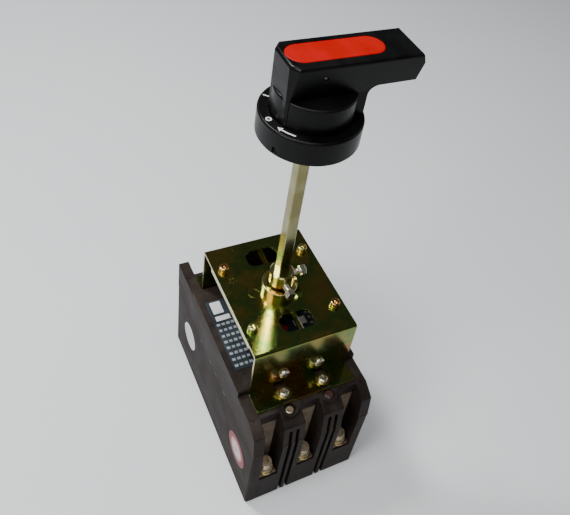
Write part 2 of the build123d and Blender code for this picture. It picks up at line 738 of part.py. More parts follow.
with BuildPart() as bracket:
    with BuildSketch(Plane.YZ.offset(-leg_half)):
        with BuildLine():
            Polyline(
                (-foot_end_y, foot_top - bracket_sheet / 2),
                (-leg_outer + bracket_sheet / 2, foot_top - bracket_sheet / 2),
                (-leg_outer + bracket_sheet / 2, plate_height - bracket_sheet / 2),
                (leg_outer - bracket_sheet / 2, plate_height - bracket_sheet / 2),
                (leg_outer - bracket_sheet / 2, foot_top - bracket_sheet / 2),
                (foot_end_y, foot_top - bracket_sheet / 2),
            )
            offset(amount=bracket_sheet / 2, kind=Kind.INTERSECTION)
        make_face()
    extrude(amount=bracket_width)
    fillet(bracket.edges().filter_by(Axis.X).filter_by(
        lambda e: abs(abs(e.center().Y) - leg_outer) < 0.1
        and abs(e.center().Z - plate_height) < 0.1), radius=bend_radius)
    with BuildSketch(Plane.XY.offset(plate_bottom)):
        with Locations(*[(0, s * slot_y) for s in ends]):
            RectangleRounded(slot_length, slot_width, slot_corner)
    extrude(amount=bracket_sheet, mode=Mode.SUBTRACT)
    post([(0, 0)], neck_radius + seat_gap, (plate_bottom, plate_height), Mode.SUBTRACT)
    post(plate_screw_places, plate_screw_radius + screw_fit, (plate_bottom, plate_height), Mode.SUBTRACT)
    for x in webs:
        for s in ends:
            cuboid(around(x, foot_notch_width / 2),
                   span((leg_outer - bracket_sheet, foot_end_y), s),
                   (shoulder_height, notch_top), Mode.SUBTRACT)
    for s in ends:
        for side in ends:
            rod_y(side * guide_rod_x, guide_rod_z, guide_rod_radius * rivet_waist + running_gap,
                  span((leg_outer - bracket_sheet, leg_outer), s), Mode.SUBTRACT)
save(bracket.part, "bracket")

# ---------------------------------------------------------------- screws on the plate and the feet
plain_washer = (4.6, 0.9)
split_washer = (3.6, 1.1)
rail_sheet = 2.0
rail_half_width = 7.0
rail_half_length = plate_screw_y + 10.0
rail_depth = 8.0
nut_height = 3.2
nut_flats = 7.0
thread_end = 1.0            # screw past its nut
plate_head_seat = plate_height + plain_washer[1] + split_washer[1]
rail_bottom = plate_bottom - rail_sheet

with BuildPart() as plate_flat_washers:
    post(plate_screw_places, plain_washer[0], (plate_height, plate_height + plain_washer[1]))
    post(plate_screw_places, plate_screw_radius + screw_fit,
         (plate_height, plate_height + plain_washer[1]), Mode.SUBTRACT)
save(plate_flat_washers.part, "plate_flat_washers")

with BuildPart() as plate_spring_washers:
    post(plate_screw_places, split_washer[0], (plate_height + plain_washer[1], plate_head_seat))
    post(plate_screw_places, plate_screw_radius + screw_fit,
         (plate_height + plain_washer[1], plate_head_seat), Mode.SUBTRACT)
    for x, y in plate_screw_places:
        cuboid((x, x + split_washer[0]), around(y, split_half),
               (plate_height + plain_washer[1], plate_head_seat), Mode.SUBTRACT)
save(plate_spring_washers.part, "plate_spring_washers")

with BuildPart() as plate_screws:
    pan_screw(plate_screws, plate_screw_places, plate_screw_radius, plate_head_seat,
              rail_bottom - nut_height - thread_end)
save(plate_screws.part, "plate_screws")

with BuildPart() as plate_nuts:
    hexagon(plate_screw_places, nut_flats, (rail_bottom - nut_height, rail_bottom))
    post(plate_screw_places, plate_screw_radius + running_gap,
         (rail_bottom - nut_height, rail_bottom), Mode.SUBTRACT)
save(plate_nuts.part, "plate_nuts")

with BuildPart() as stiffener_rails:
    for s in ends:
        centre = s * plate_screw_x
        cuboid(around(centre, rail_half_width), (-rail_half_length, rail_half_length),
               (plate_bottom - rail_depth, plate_bottom))
        cuboid(around(centre, rail_half_width - rail_sheet), (-rail_half_length, rail_half_length),
               (plate_bottom - rail_depth, rail_bottom), Mode.SUBTRACT)
    post(plate_screw_places, plate_screw_radius + screw_fit, (rail_bottom, plate_bottom), Mode.SUBTRACT)
save(stiffener_rails.part, "stiffener_rails")

foot_washer = (6.3, 1.0)
with BuildPart() as foot_washers:
    post(foot_screw_places, foot_washer[0], (foot_top, foot_top + foot_washer[1]))
    post(foot_screw_places, foot_screw_radius + screw_fit, (foot_top, foot_top + foot_washer[1]),
         Mode.SUBTRACT)
save(foot_washers.part, "foot_washers")

with BuildPart() as foot_screws:
    pan_screw(foot_screws, foot_screw_places, foot_screw_radius, foot_top + foot_washer[1],
              foot_screw_tip + tip_room / 2)
save(foot_screws.part, "foot_screws")

rivet_head_radius = 4.4
rivet_head_height = 2.4
rivet_round = 1.6
with BuildPart() as guide_rods:
    for side in ends:
        x = side * guide_rod_x
        rod_y(x, guide_rod_z, guide_rod_radius,
              (-leg_outer + bracket_sheet, leg_outer - bracket_sheet))
        for s in ends:
            rod_y(x, guide_rod_z, guide_rod_radius * rivet_waist,
                  span((leg_outer - bracket_sheet, leg_outer), s))
            rod_y(x, guide_rod_z, rivet_head_radius,
                  span((leg_outer, leg_outer + rivet_head_height), s))
    for s in ends:
        heads = guide_rods.faces().filter_by(Axis.Y).group_by(Axis.Y)[-1 if s > 0 else 0]
        fillet(heads.edges(), radius=rivet_round)
save(guide_rods.part, "guide_rods")

# ---------------------------------------------------------------- bearing cup and nut
cup_floor = 2.5
cup_recess_radius = cup_radius - 3.0
cup_nut_height = 3.0
cup_neck_bottom = plate_bottom - cup_nut_height
cup_nut_flats = 2 * (neck_radius + 3.1)
cup_round = 0.8

with BuildPart() as bearing_cup:
    post([(0, 0)], cup_radius, (plate_height, cup_top))
    fillet(bearing_cup.faces().sort_by(Axis.Z)[-1].edges(), radius=cup_round)
    post([(0, 0)], cup_recess_radius, (plate_height + cup_floor, cup_top), Mode.SUBTRACT)
    post([(0, 0)], neck_radius, (cup_neck_bottom, plate_height))
    post([(0, 0)], journal_radius + running_gap, (cup_neck_bottom, cup_top), Mode.SUBTRACT)
save(bearing_cup.part, "bearing_cup")

with BuildPart() as bearing_nut:
    hexagon([(0, 0)], cup_nut_flats, (cup_neck_bottom, plate_bottom))
    post([(0, 0)], neck_radius + running_gap, (cup_neck_bottom, plate_bottom), Mode.SUBTRACT)
save(bearing_nut.part, "bearing_nut")

# ---------------------------------------------------------------- shaft, sleeve and crank
collar_bottom = plate_height + cup_floor + seat_gap
square_fit = 0.05
bolt_shank_radius = 2.4
bolt_head_flats = 8.0
bolt_head_length = 4.5
bolt_head_start = collar_radius + 7.2
bolt_front_z = collar_top - 9.5
bolt_side_z = collar_top - 7.5
shaft_edge = 0.6
collar_edge = 1.0
bolt_edge = 0.5
crank_rivet = 0.6           # crank pin's rivet past the disc
square_half = shaft_side / 2 + square_fit

with BuildPart() as square_shaft:
    with BuildSketch(Plane.XY.offset(shaft_bottom)):
        Rectangle(shaft_side, shaft_side)
    extrude(amount=shaft_top - shaft_bottom)
    chamfer(square_shaft.edges().filter_by(Axis.Z), length=shaft_edge)
save(square_shaft.part, "square_shaft")

with BuildPart() as drive_sleeve:
    post([(0, 0)], journal_radius, (crank_disc_bottom, collar_bottom))
    post([(0, 0)], collar_radius, (collar_bottom, collar_top))
    chamfer(drive_sleeve.faces().sort_by(Axis.Z)[-1].edges(), length=collar_edge)
    cuboid(around(0, square_half), around(0, square_half),
           (shaft_bottom, collar_top), Mode.SUBTRACT)
    rod_y(0, bolt_front_z, bolt_shank_radius, (-collar_radius, 0), Mode.SUBTRACT)
    rod_x(0, bolt_side_z, bolt_shank_radius, (0, collar_radius), Mode.SUBTRACT)
save(drive_sleeve.part, "drive_sleeve")

bolt_tip = square_half
for label, plane in (
    ("set_bolt_front", Plane(origin=(0, 0, bolt_front_z), x_dir=(1, 0, 0), z_dir=(0, -1, 0))),
    ("set_bolt_side", Plane(origin=(0, 0, bolt_side_z), x_dir=(0, 1, 0), z_dir=(1, 0, 0))),
):
    with BuildPart() as set_bolt:
        with BuildSketch(plane.offset(bolt_tip)):
            Circle(bolt_shank_radius - running_gap)
        extrude(amount=bolt_head_start - bolt_tip)
        with BuildSketch(plane.offset(bolt_head_start)):
            RegularPolygon(bolt_head_flats / 2, 6, major_radius=False)
        extrude(amount=bolt_head_length)
        chamfer(set_bolt.faces().sort_by(Axis(plane.origin, plane.z_dir))[-1].edges(),
                length=bolt_edge)
    save(set_bolt.part, label)

with BuildPart() as crank_disc:
    post([(0, 0)], crank_disc_radius, (crank_disc_bottom, crank_disc_bottom + crank_disc_thickness))
    post([(0, 0)], journal_radius, (crank_disc_bottom, crank_disc_bottom + crank_disc_thickness),
         Mode.SUBTRACT)
    post([(-crank_radius, 0)], crank_pin_radius * rivet_waist,
         (crank_disc_bottom, crank_disc_bottom + crank_disc_thickness), Mode.SUBTRACT)
save(crank_disc.part, "crank_disc")

with BuildPart() as crank_pin:
    post([(-crank_radius, 0)], crank_pin_radius, (slide_plate_bottom + seat_gap, crank_disc_bottom))
    post([(-crank_radius, 0)], crank_pin_radius * rivet_waist,
         (crank_disc_bottom, crank_disc_bottom + crank_disc_thickness + crank_rivet))
save(crank_pin.part, "crank_pin")

# ---------------------------------------------------------------- slide plate
slide_block_half = 4.5
slide_block_bottom = slide_plate_bottom - 11.0
crank_slot_half = crank_pin_radius + slide_clearance
slide_half_width = crank_radius + crank_slot_half + 3.4
slide_y = (-crank_slot_half - 5.4, toggle_y + 13.0)
crank_slot_x = (-crank_radius - crank_slot_half, -crank_radius * cos(radians(45)) + crank_slot_half)
slide_top = slide_plate_bottom + slide_plate_thickness
slide_corner = 3.0
toggle_swing_room = 0.5     # the toggle leans in its slot at either end of its travel

with BuildPart() as slide_plate:
    cuboid((-slide_half_width, slide_half_width), slide_y, (slide_plate_bottom, slide_top))
    fillet(slide_plate.edges().filter_by(Axis.Z), radius=slide_corner)
    for side in ends:
        cuboid(around(side * guide_rod_x, slide_block_half), slide_y,
               (slide_block_bottom, slide_plate_bottom))
        rod_y(side * guide_rod_x, guide_rod_z, guide_rod_radius + running_gap, slide_y, Mode.SUBTRACT)
    cuboid(crank_slot_x, around(0, crank_slot_half), (slide_plate_bottom, slide_top), Mode.SUBTRACT)
    cuboid(around(0, toggle_width / 2 + slide_clearance),
           around(toggle_y, toggle_thickness / 2 + slide_clearance + toggle_swing_room),
           (slide_plate_bottom, slide_top), Mode.SUBTRACT)
save(slide_plate.part, "slide_plate")

# ---------------------------------------------------------------- door handle
socket_radius = shaft_side / 2 + 6.5    # knob's central post around the square shaft
retainer_groove = socket_radius - 0.8
retainer_radius = socket_radius + 3.0
ring_floor = 3.0
drum_bottom = ring_bottom + ring_floor + seat_gap
drum_wall = 3.0
drum_roof = drum_top - 4.0
post_bottom = ring_bottom - 4.0
retainer_z = (ring_bottom - 2.6, ring_bottom - 1.4)
retainer_play = 0.05
retainer_gap_half = 4.0
drum_round = 1.5
shaft_end_room = 0.5
grip_end_lean = 2.0         # how far the grip's free end leans in at the bottom
grip_nose_drop = 8.0        # slanted corner at the free end
grip_nose_run = 3.5
grip_back_lean = 1.5
drum_inset = 1.6            # grip's sides where they meet the drum
neck_out = 3.8              # neck's outer face past the drum, over the dial ring
neck_round = 7.3            # curve from the grip's underside into the neck
skirt_gap = 0.8             # between the grip's lower end and the dial ring
grip_corner = (6.5, 8.0)    # flat corners at the grip's tail, along x and y
neck_x = drum_radius + neck_out
neck_start = neck_x + neck_round
neck_middle = neck_round * (1 - sqrt(0.5))
skirt_bottom = ring_top + skirt_gap
grip_edge = 2.6
insert_proud = 0.2
insert_gap = 0.2
insert_round = 0.8
side_hole_x = -2.8
side_hole_z = shaft_top - 3.0
side_hole_radius = 1.6
grub_play = 0.05
grub_depth = 3.0            # the grub screw's outer end below the grip's side

with BuildPart() as grip_body:
    with BuildSketch(Plane.XZ.offset(-grip_half_width)):
        with BuildLine():
            Polyline(
                (-drum_radius + drum_inset, skirt_bottom),
                (-grip_tail + grip_back_lean, grip_top),
                (grip_reach - grip_nose_run, grip_top),
                (grip_reach, grip_top - grip_nose_drop),
                (grip_reach - grip_end_lean, grip_underside), (neck_start, grip_underside),
            )
            ThreePointArc((neck_start, grip_underside),
                          (neck_x + neck_middle, grip_underside - neck_middle),
                          (neck_x, grip_underside - neck_round))
            Polyline((neck_x, grip_underside - neck_round), (neck_x, skirt_bottom),
                     (-drum_radius + drum_inset, skirt_bottom))
        make_face()
    extrude(amount=2 * grip_half_width)
    for s in ends:
        with BuildSketch(Plane.XY.offset(skirt_bottom)):
            with BuildLine():
                Polyline((-grip_tail, s * grip_half_width),
                         (-grip_tail + grip_corner[0], s * grip_half_width),
                         (-grip_tail, s * (grip_half_width - grip_corner[1])), close=True)
            make_face()
        extrude(amount=grip_top - skirt_bottom, mode=Mode.SUBTRACT)
    for s in ends:
        with BuildSketch(Plane.YZ.offset(-grip_tail)):
            with BuildLine():
                Polyline((s * grip_half_width, grip_top), (s * grip_half_width, skirt_bottom),
                         (s * grip_base_half, skirt_bottom), (s * grip_base_half, drum_top),
                         close=True)
            make_face()
        extrude(amount=grip_tail + grip_reach, dir=(1, 0, 0), mode=Mode.SUBTRACT)
    fillet(grip_body.edges().group_by(Axis.Z)[-1], radius=grip_edge)

with BuildPart() as knob:
    post([(0, 0)], drum_radius, (drum_bottom, drum_top))
    fillet(knob.faces().sort_by(Axis.Z)[-1].edges(), radius=drum_round)
    add(grip_body.part)
    post([(0, 0)], drum_radius - drum_wall, (drum_bottom, drum_roof), Mode.SUBTRACT)
    post([(0, 0)], socket_radius, (post_bottom, drum_roof))
    cuboid(around(0, square_half), around(0, square_half),
           (post_bottom, shaft_top + shaft_end_room), Mode.SUBTRACT)
    post([(0, 0)], socket_radius, retainer_z, Mode.SUBTRACT)
    post([(0, 0)], retainer_groove, retainer_z)
    cuboid(around(0, square_half), around(0, square_half),
           retainer_z, Mode.SUBTRACT)
    with BuildSketch(Plane.XY.offset(grip_top - insert_thickness + insert_proud)):
        with Locations(((insert_start + insert_end) / 2, 0)):
            SlotOverall(insert_end - insert_start + 2 * insert_gap, insert_width + 2 * insert_gap)
    extrude(amount=insert_thickness, mode=Mode.SUBTRACT)
    rod_y(side_hole_x, side_hole_z, side_hole_radius, (-grip_half_width, -shaft_side / 2),
          Mode.SUBTRACT)
save(knob.part, "knob")

with BuildPart() as grip_insert:
    with BuildSketch(Plane.XY.offset(grip_top - insert_thickness + insert_proud)):
        with Locations(((insert_start + insert_end) / 2, 0)):
            SlotOverall(insert_end - insert_start, insert_width)
    extrude(amount=insert_thickness)
    fillet(grip_insert.faces().sort_by(Axis.Z)[-1].edges(), radius=insert_round)
save(grip_insert.part, "grip_insert")

with BuildPart() as knob_grub_screw:
    rod_y(side_hole_x, side_hole_z, side_hole_radius - grub_play,
          (-grip_half_width + grub_depth, -shaft_side / 2 - grub_play))
save(knob_grub_screw.part, "knob_grub_screw")

with BuildPart() as knob_retainer:
    post([(0, 0)], retainer_radius, (retainer_z[0] + retainer_play, retainer_z[1] - retainer_play))
    post([(0, 0)], retainer_groove + running_gap, (retainer_z[0], retainer_z[1]), Mode.SUBTRACT)
    cuboid((0, retainer_radius), around(0, retainer_gap_half), retainer_z, Mode.SUBTRACT)
save(knob_retainer.part, "knob_retainer")

fixing_angles = [radians(45 + 90 * i) for i in range(4)]
fixing_places = [(fixing_radius * cos(a), fixing_radius * sin(a)) for a in fixing_angles]
rim_notch_angle = 207.0
rim_notch = (3.0, 4.5, 5.0)     # depth, width, height
ring_round = 1.6
gasket_inset = 0.8
gasket_hole_play = 0.2

with BuildPart() as dial_ring:
    post([(0, 0)], ring_radius, (ring_bottom, ring_top))
    fillet(dial_ring.faces().sort_by(Axis.Z)[-1].edges(), radius=ring_round)
    post([(0, 0)], ring_bore, (ring_bottom + ring_floor, ring_top), Mode.SUBTRACT)
    post([(0, 0)], socket_radius + running_gap, (ring_bottom, ring_bottom + ring_floor),
         Mode.SUBTRACT)
    post(fixing_places, fixing_hole_radius, (ring_bottom, ring_bottom + fixing_hole_depth),
         Mode.SUBTRACT)
    with Locations(Location((ring_radius * cos(radians(rim_notch_angle)),
                             ring_radius * sin(radians(rim_notch_angle)),
                             ring_bottom + rim_notch[2] / 2), (0, 0, rim_notch_angle))):
        Box(*rim_notch, mode=Mode.SUBTRACT)
save(dial_ring.part, "dial_ring")

gasket_thickness = 1.2
with BuildPart() as dial_gasket:
    post([(0, 0)], ring_radius - gasket_inset, (ring_bottom - gasket_thickness, ring_bottom))
    post([(0, 0)], ring_bore, (ring_bottom - gasket_thickness, ring_bottom), Mode.SUBTRACT)
    post(fixing_places, fixing_hole_radius + gasket_hole_play, (ring_bottom - gasket_thickness, ring_bottom),
         Mode.SUBTRACT)
save(dial_gasket.part, "dial_gasket")
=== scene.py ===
"""Looks of a three-pole circuit breaker with a plated rotary mechanism and a door handle.

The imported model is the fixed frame. Each sub-assembly below is a class that dresses its own
pieces and adds the small ones that the frame leaves out: threads, knurls, prints and marks.
All sizes are in metres, in the frame's own axes: +Z from the mounting face to the handle.
"""

from __future__ import annotations

import logging
import math
from dataclasses import dataclass, field
from enum import Enum
from typing import Iterable

import bmesh
import bpy
from mathutils import Matrix, Vector, noise

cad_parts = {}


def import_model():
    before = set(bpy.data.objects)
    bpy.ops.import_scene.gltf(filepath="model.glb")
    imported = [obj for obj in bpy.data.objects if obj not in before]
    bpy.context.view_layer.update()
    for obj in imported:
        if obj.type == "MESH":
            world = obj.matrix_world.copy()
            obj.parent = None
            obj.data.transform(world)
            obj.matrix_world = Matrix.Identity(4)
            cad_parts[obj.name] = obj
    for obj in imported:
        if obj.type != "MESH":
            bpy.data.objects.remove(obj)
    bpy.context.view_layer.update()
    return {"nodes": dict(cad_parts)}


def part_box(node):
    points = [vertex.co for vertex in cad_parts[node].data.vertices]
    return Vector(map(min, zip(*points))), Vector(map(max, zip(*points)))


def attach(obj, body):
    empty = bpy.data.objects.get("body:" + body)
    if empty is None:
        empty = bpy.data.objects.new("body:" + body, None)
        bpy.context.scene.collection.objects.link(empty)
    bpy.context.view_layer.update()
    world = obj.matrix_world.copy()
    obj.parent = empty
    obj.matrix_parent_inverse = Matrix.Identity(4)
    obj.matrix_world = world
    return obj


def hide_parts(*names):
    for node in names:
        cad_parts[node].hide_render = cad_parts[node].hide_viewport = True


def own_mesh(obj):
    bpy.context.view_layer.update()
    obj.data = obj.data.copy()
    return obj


MM = 0.001
UPRIGHT = (0.0, 0.0, 0.0)
Triple = tuple[float, float, float]
Point = tuple[float, float]
Box = tuple[Vector, Vector]
Tree = bpy.types.NodeTree
Socket = bpy.types.NodeSocket
Material = bpy.types.Material
Object = bpy.types.Object

log = logging.getLogger("breaker")


class Slot(Enum):
    """Names of material slots, passed along with the pieces made here."""

    HOUSING = "housing"
    COVER = "cover"
    ZINC_YELLOW = "zinc_yellow"
    ZINC_BRIGHT = "zinc_bright"
    BLACK = "black_plastic"
    PLATE = "plate_print"
    WAX = "wax"


class Body(Enum):
    """The bodies that pieces ride on."""

    BREAKER = "breaker"
    HANDLE = "handle"
    DIAL = "dial"
    TOGGLE = "toggle"


# ------------------------------------------------------------------ node trees


class Graph:
    """A node tree being filled in, with short calls for adding and linking nodes."""

    def __init__(self, tree: Tree) -> None:
        """Keep the tree that every call works on."""
        self.tree = tree

    def add(self, kind: str, inputs: dict | None = None, **settings: object) -> bpy.types.Node:
        """Add a node.

        Args:
            kind: the node's Blender type name.
            inputs: socket name or index to a value, or to a socket to link from.
            settings: attributes of the node, set before its inputs.

        Returns:
            The new node.
        """
        made = self.tree.nodes.new(kind)
        for name, value in settings.items():
            setattr(made, name, value)
        for key, value in (inputs or {}).items():
            self.feed(made.inputs[key], value)
        return made

    def feed(self, socket: Socket, value: object) -> None:
        """Link a socket into another, or set the socket's own value."""
        if isinstance(value, Socket):
            self.tree.links.new(value, socket)
        else:
            socket.default_value = value

    def make(self, kind: str, inputs: dict | None = None, **settings: object) -> Socket:
        """Add a node and give its first output."""
        return self.add(kind, inputs, **settings).outputs[0]

    def group(self, tree: Tree, **inputs: object) -> bpy.types.NodeOutputs:
        """Add a shared group with its inputs fed, and give its outputs."""
        return self.add("ShaderNodeGroup", inputs, node_tree=tree).outputs

    def math(self, operation: str, *values: object, clamp: bool = False) -> Socket:
        """Add a math node and give its result."""
        return self.make("ShaderNodeMath", dict(enumerate(values)), operation=operation,
                         use_clamp=clamp)

    def vector(self, operation: str, *values: object) -> Socket:
        """Add a vector math node and give its vector result."""
        return self.make("ShaderNodeVectorMath", dict(enumerate(values)), operation=operation)

    def scaled(self, vector: Socket, factor: object) -> Socket:
        """Give a vector or a colour multiplied by one number."""
        return self.make("ShaderNodeVectorMath", {0: vector, "Scale": factor}, operation="SCALE")

    def stretched(self, vector: object, scale: Triple) -> Socket:
        """Give a coordinate multiplied by its own factor along each axis."""
        return self.vector("MULTIPLY", vector, scale)

    def step(self, value: object, low: object, high: object) -> Socket:
        """Give a smooth step from 0 at the low value to 1 at the high value."""
        return self.make("ShaderNodeMapRange", {0: value, 1: low, 2: high},
                         interpolation_type="SMOOTHSTEP")

    def around(self, value: Socket, middle: float, span: float) -> Socket:
        """Spread a value between 0 and 1 over a span about a middle."""
        return self.math("MULTIPLY_ADD", value, span, middle - span / 2)

    def mix(self, factor: object, *colours: Socket | Triple) -> Socket:
        """Blend two colours, each a socket or a plain triple."""
        first, second = (colour if isinstance(colour, Socket) else (*colour, 1.0)
                         for colour in colours)
        made = self.add("ShaderNodeMix", {0: factor, 6: first, 7: second}, data_type="RGBA")
        return made.outputs[2]

    def noise(self, vector: object, scale: object, detail: float = 4.0) -> Socket:
        """Give a three-dimensional noise value between 0 and 1."""
        return self.make("ShaderNodeTexNoise", {"Vector": vector, "Scale": scale, "Detail": detail})

    def ramp(self, value: object, stops: Iterable[tuple[float, Triple]]) -> Socket:
        """Give a colour from a ramp.

        Args:
            value: what the ramp reads, from 0 to 1.
            stops: each stop's position and colour, in rising order.

        Returns:
            The ramp's colour socket.
        """
        made = self.add("ShaderNodeValToRGB", {0: value})
        elements = made.color_ramp.elements
        for index, (position, colour) in enumerate(stops):
            element = elements[index] if index < 2 else elements.new(position)
            element.position = position
            element.color = (*colour, 1.0)
        return made.outputs[0]


SOCKETS = {"float": "NodeSocketFloat", "int": "NodeSocketInt", "vector": "NodeSocketVector",
           "geometry": "NodeSocketGeometry", "material": "NodeSocketMaterial"}


def new_tree(name: str, kind: str, inputs: dict[str, str], outputs: dict[str, str]) -> tuple:
    """Start a node group.

    Args:
        name: the group's name.
        kind: "ShaderNodeTree" or "GeometryNodeTree".
        inputs: input name to a key of SOCKETS.
        outputs: output name to a key of SOCKETS.

    Returns:
        The group's Graph, its input node's outputs and its output node's inputs.
    """
    tree = bpy.data.node_groups.new(name, kind)
    for side, sockets in (("INPUT", inputs), ("OUTPUT", outputs)):
        for label, sort in sockets.items():
            tree.interface.new_socket(name=label, in_out=side, socket_type=SOCKETS[sort])
    graph = Graph(tree)
    return graph, graph.add("NodeGroupInput").outputs, graph.add("NodeGroupOutput").inputs


def moulded_grain() -> Tree:
    """Fine moulded grain: a height, and a slow patchy tint."""
    g, given, result = new_tree("moulded_grain", "ShaderNodeTree",
                           {"Vector": "vector", "Scale": "float"},
                           {"Height": "float", "Tint": "float"})
    where = given["Vector"]
    fine = g.noise(where, given["Scale"], detail=3.0)
    pits = g.make("ShaderNodeTexVoronoi", {"Vector": where, "Scale": given["Scale"]})
    slow = g.noise(where, scale=38.0, detail=5.0)
    streaks = g.noise(g.stretched(where, (90.0, 14.0, 40.0)), scale=1.0)
    g.feed(result["Height"], g.math("ADD", fine, g.math("MULTIPLY", pits, 0.5)))
    g.feed(result["Tint"], g.step(g.math("ADD", slow, streaks), low=0.75, high=1.3))
    return g.tree


def settled_dust() -> Tree:
    """Dust that lies on upward faces and gathers in patches."""
    g, given, result = new_tree("settled_dust", "ShaderNodeTree",
                           {"Vector": "vector", "Normal": "vector", "Amount": "float"},
                           {"Mask": "float"})
    up = g.add("ShaderNodeSeparateXYZ", {0: given["Normal"]}).outputs[2]
    facing = g.step(up, low=0.3, high=0.95)
    patches = g.step(g.noise(given["Vector"], scale=95.0, detail=6.0), low=0.42, high=0.72)
    specks = g.step(g.noise(given["Vector"], scale=1500.0, detail=2.0), low=0.62, high=0.74)
    both = g.math("ADD", g.math("MULTIPLY", patches, 0.7), g.math("MULTIPLY", specks, 0.5))
    lying = g.math("MULTIPLY", both, g.math("ADD", g.math("MULTIPLY", facing, 0.85), 0.15))
    g.feed(result["Mask"], g.math("MULTIPLY", lying, given["Amount"], clamp=True))
    return g.tree


def rubbed_and_highlit_edges() -> Tree:
    """Rubbed and painted-highlight edges of a box between two corners: 1 at its edges, ragged, 0
    inside.
    """
    g, given, result = new_tree("rubbed_and_highlit_edges", "ShaderNodeTree",
                           {"Vector": "vector", "Low": "vector", "High": "vector",
                            "Width": "float"}, {"Mask": "float"})
    below = g.vector("SUBTRACT", given["Vector"], given["Low"])
    above = g.vector("SUBTRACT", given["High"], given["Vector"])
    depth = g.add("ShaderNodeSeparateXYZ", {0: g.vector("MINIMUM", below, above)}).outputs
    near = g.math("MINIMUM", depth[0], depth[1])
    far = g.math("MAXIMUM", depth[0], depth[1])
    edge = g.math("MAXIMUM", near, g.math("MINIMUM", far, depth[2]))
    ragged = g.around(g.noise(given["Vector"], scale=260.0, detail=5.0), middle=0.7, span=2.0)
    reach = g.math("MULTIPLY", given["Width"], ragged)
    g.feed(result["Mask"], g.math("SUBTRACT", 1.0, g.step(edge, 0.0, reach), clamp=True))
    return g.tree


def hairlines() -> Tree:
    """Sparse hairline scratches in two directions."""
    g, given, result = new_tree("hairlines", "ShaderNodeTree",
                           {"Vector": "vector", "Amount": "float"}, {"Mask": "float"})
    lines = []
    for stretch in ((1700.0, 55.0, 300.0), (90.0, 1500.0, 400.0)):
        value = g.noise(g.stretched(given["Vector"], stretch), scale=1.0, detail=2.0)
        lines.append(g.step(value, low=0.66, high=0.72))
    total = g.math("MAXIMUM", *lines)
    broken = g.step(g.noise(given["Vector"], scale=60.0, detail=3.0), low=0.45, high=0.65)
    mask = g.math("MULTIPLY", g.math("MULTIPLY", total, broken), given["Amount"])
    g.feed(result["Mask"], mask)
    return g.tree


def passivated_coat() -> Tree:
    """Cloudy tint of a passivated coat: slow clouds, fine mottle and rolling lines."""
    g, given, result = new_tree("passivated_coat", "ShaderNodeTree",
                           {"Vector": "vector", "Scale": "float"},
                           {"Cloud": "float", "Mottle": "float", "Rolling": "float"})
    where = given["Vector"]
    swirl = g.add("ShaderNodeTexNoise", {"Vector": where, "Scale": 24.0}).outputs[1]
    bent = g.vector("ADD", where, g.scaled(swirl, factor=0.03))
    g.feed(result["Cloud"], g.step(g.noise(bent, given["Scale"], detail=3.0), low=0.3, high=0.7))
    g.feed(result["Mottle"], g.noise(where, scale=420.0, detail=5.0))
    rolled = g.stretched(where, (3200.0, 40.0, 3200.0))
    g.feed(result["Rolling"], g.noise(rolled, scale=1.0, detail=2.0))
    return g.tree


@dataclass
class Effects:
    """Shader groups that several finishes share, each built once."""

    grain: Tree = field(default_factory=moulded_grain)
    dust: Tree = field(default_factory=settled_dust)
    edge_wear_and_highlight: Tree = field(default_factory=rubbed_and_highlit_edges)
    scratches: Tree = field(default_factory=hairlines)
    plating: Tree = field(default_factory=passivated_coat)


# ------------------------------------------------------------------ finishes


class Surface(Graph):
    """A material being built: its tree, its Principled node's inputs and its coordinates."""

    def __init__(self, name: str, effects: Effects | None = None) -> None:
        """Start the material of that name, with the shared groups that it may use."""
        self.material = bpy.data.materials.new(name)
        self.material.use_nodes = True
        super().__init__(self.material.node_tree)
        self.effects = effects
        self.shader = self.tree.nodes["Principled BSDF"].inputs
        place = self.add("ShaderNodeTexCoord").outputs
        self.where, self.normal = place["Object"], place["Normal"]

    def dusted(self, colour: Socket, amount: float, tint: Triple) -> tuple[Socket, Socket]:
        """Lay dust on a colour, and give the new colour and where the dust lies."""
        mask = self.group(self.effects.dust, Vector=self.where, Normal=self.normal,
                          Amount=amount)["Mask"]
        return self.mix(mask, colour, tint), mask

    def roughened(self, rough: Socket, mask: Socket, amount: float) -> Socket:
        """Give a roughness that is raised by an amount where a mask is up."""
        return self.math("MULTIPLY_ADD", mask, amount, rough, clamp=True)

    def end(self, colour: Socket, rough: Socket, height: Socket, strength: float,
            depth: float) -> Material:
        """Feed the Principled node.

        Args:
            colour: the base colour.
            rough: the roughness.
            height: the relief, which moves the normals only.
            strength: how much of the relief shows.
            depth: how deep the relief is.

        Returns:
            The material.
        """
        relief = self.make("ShaderNodeBump", {"Height": height, "Strength": strength,
                                              "Distance": depth})
        for name, value in (("Base Color", colour), ("Roughness", rough), ("Normal", relief)):
            self.feed(self.shader[name], value)
        return self.material


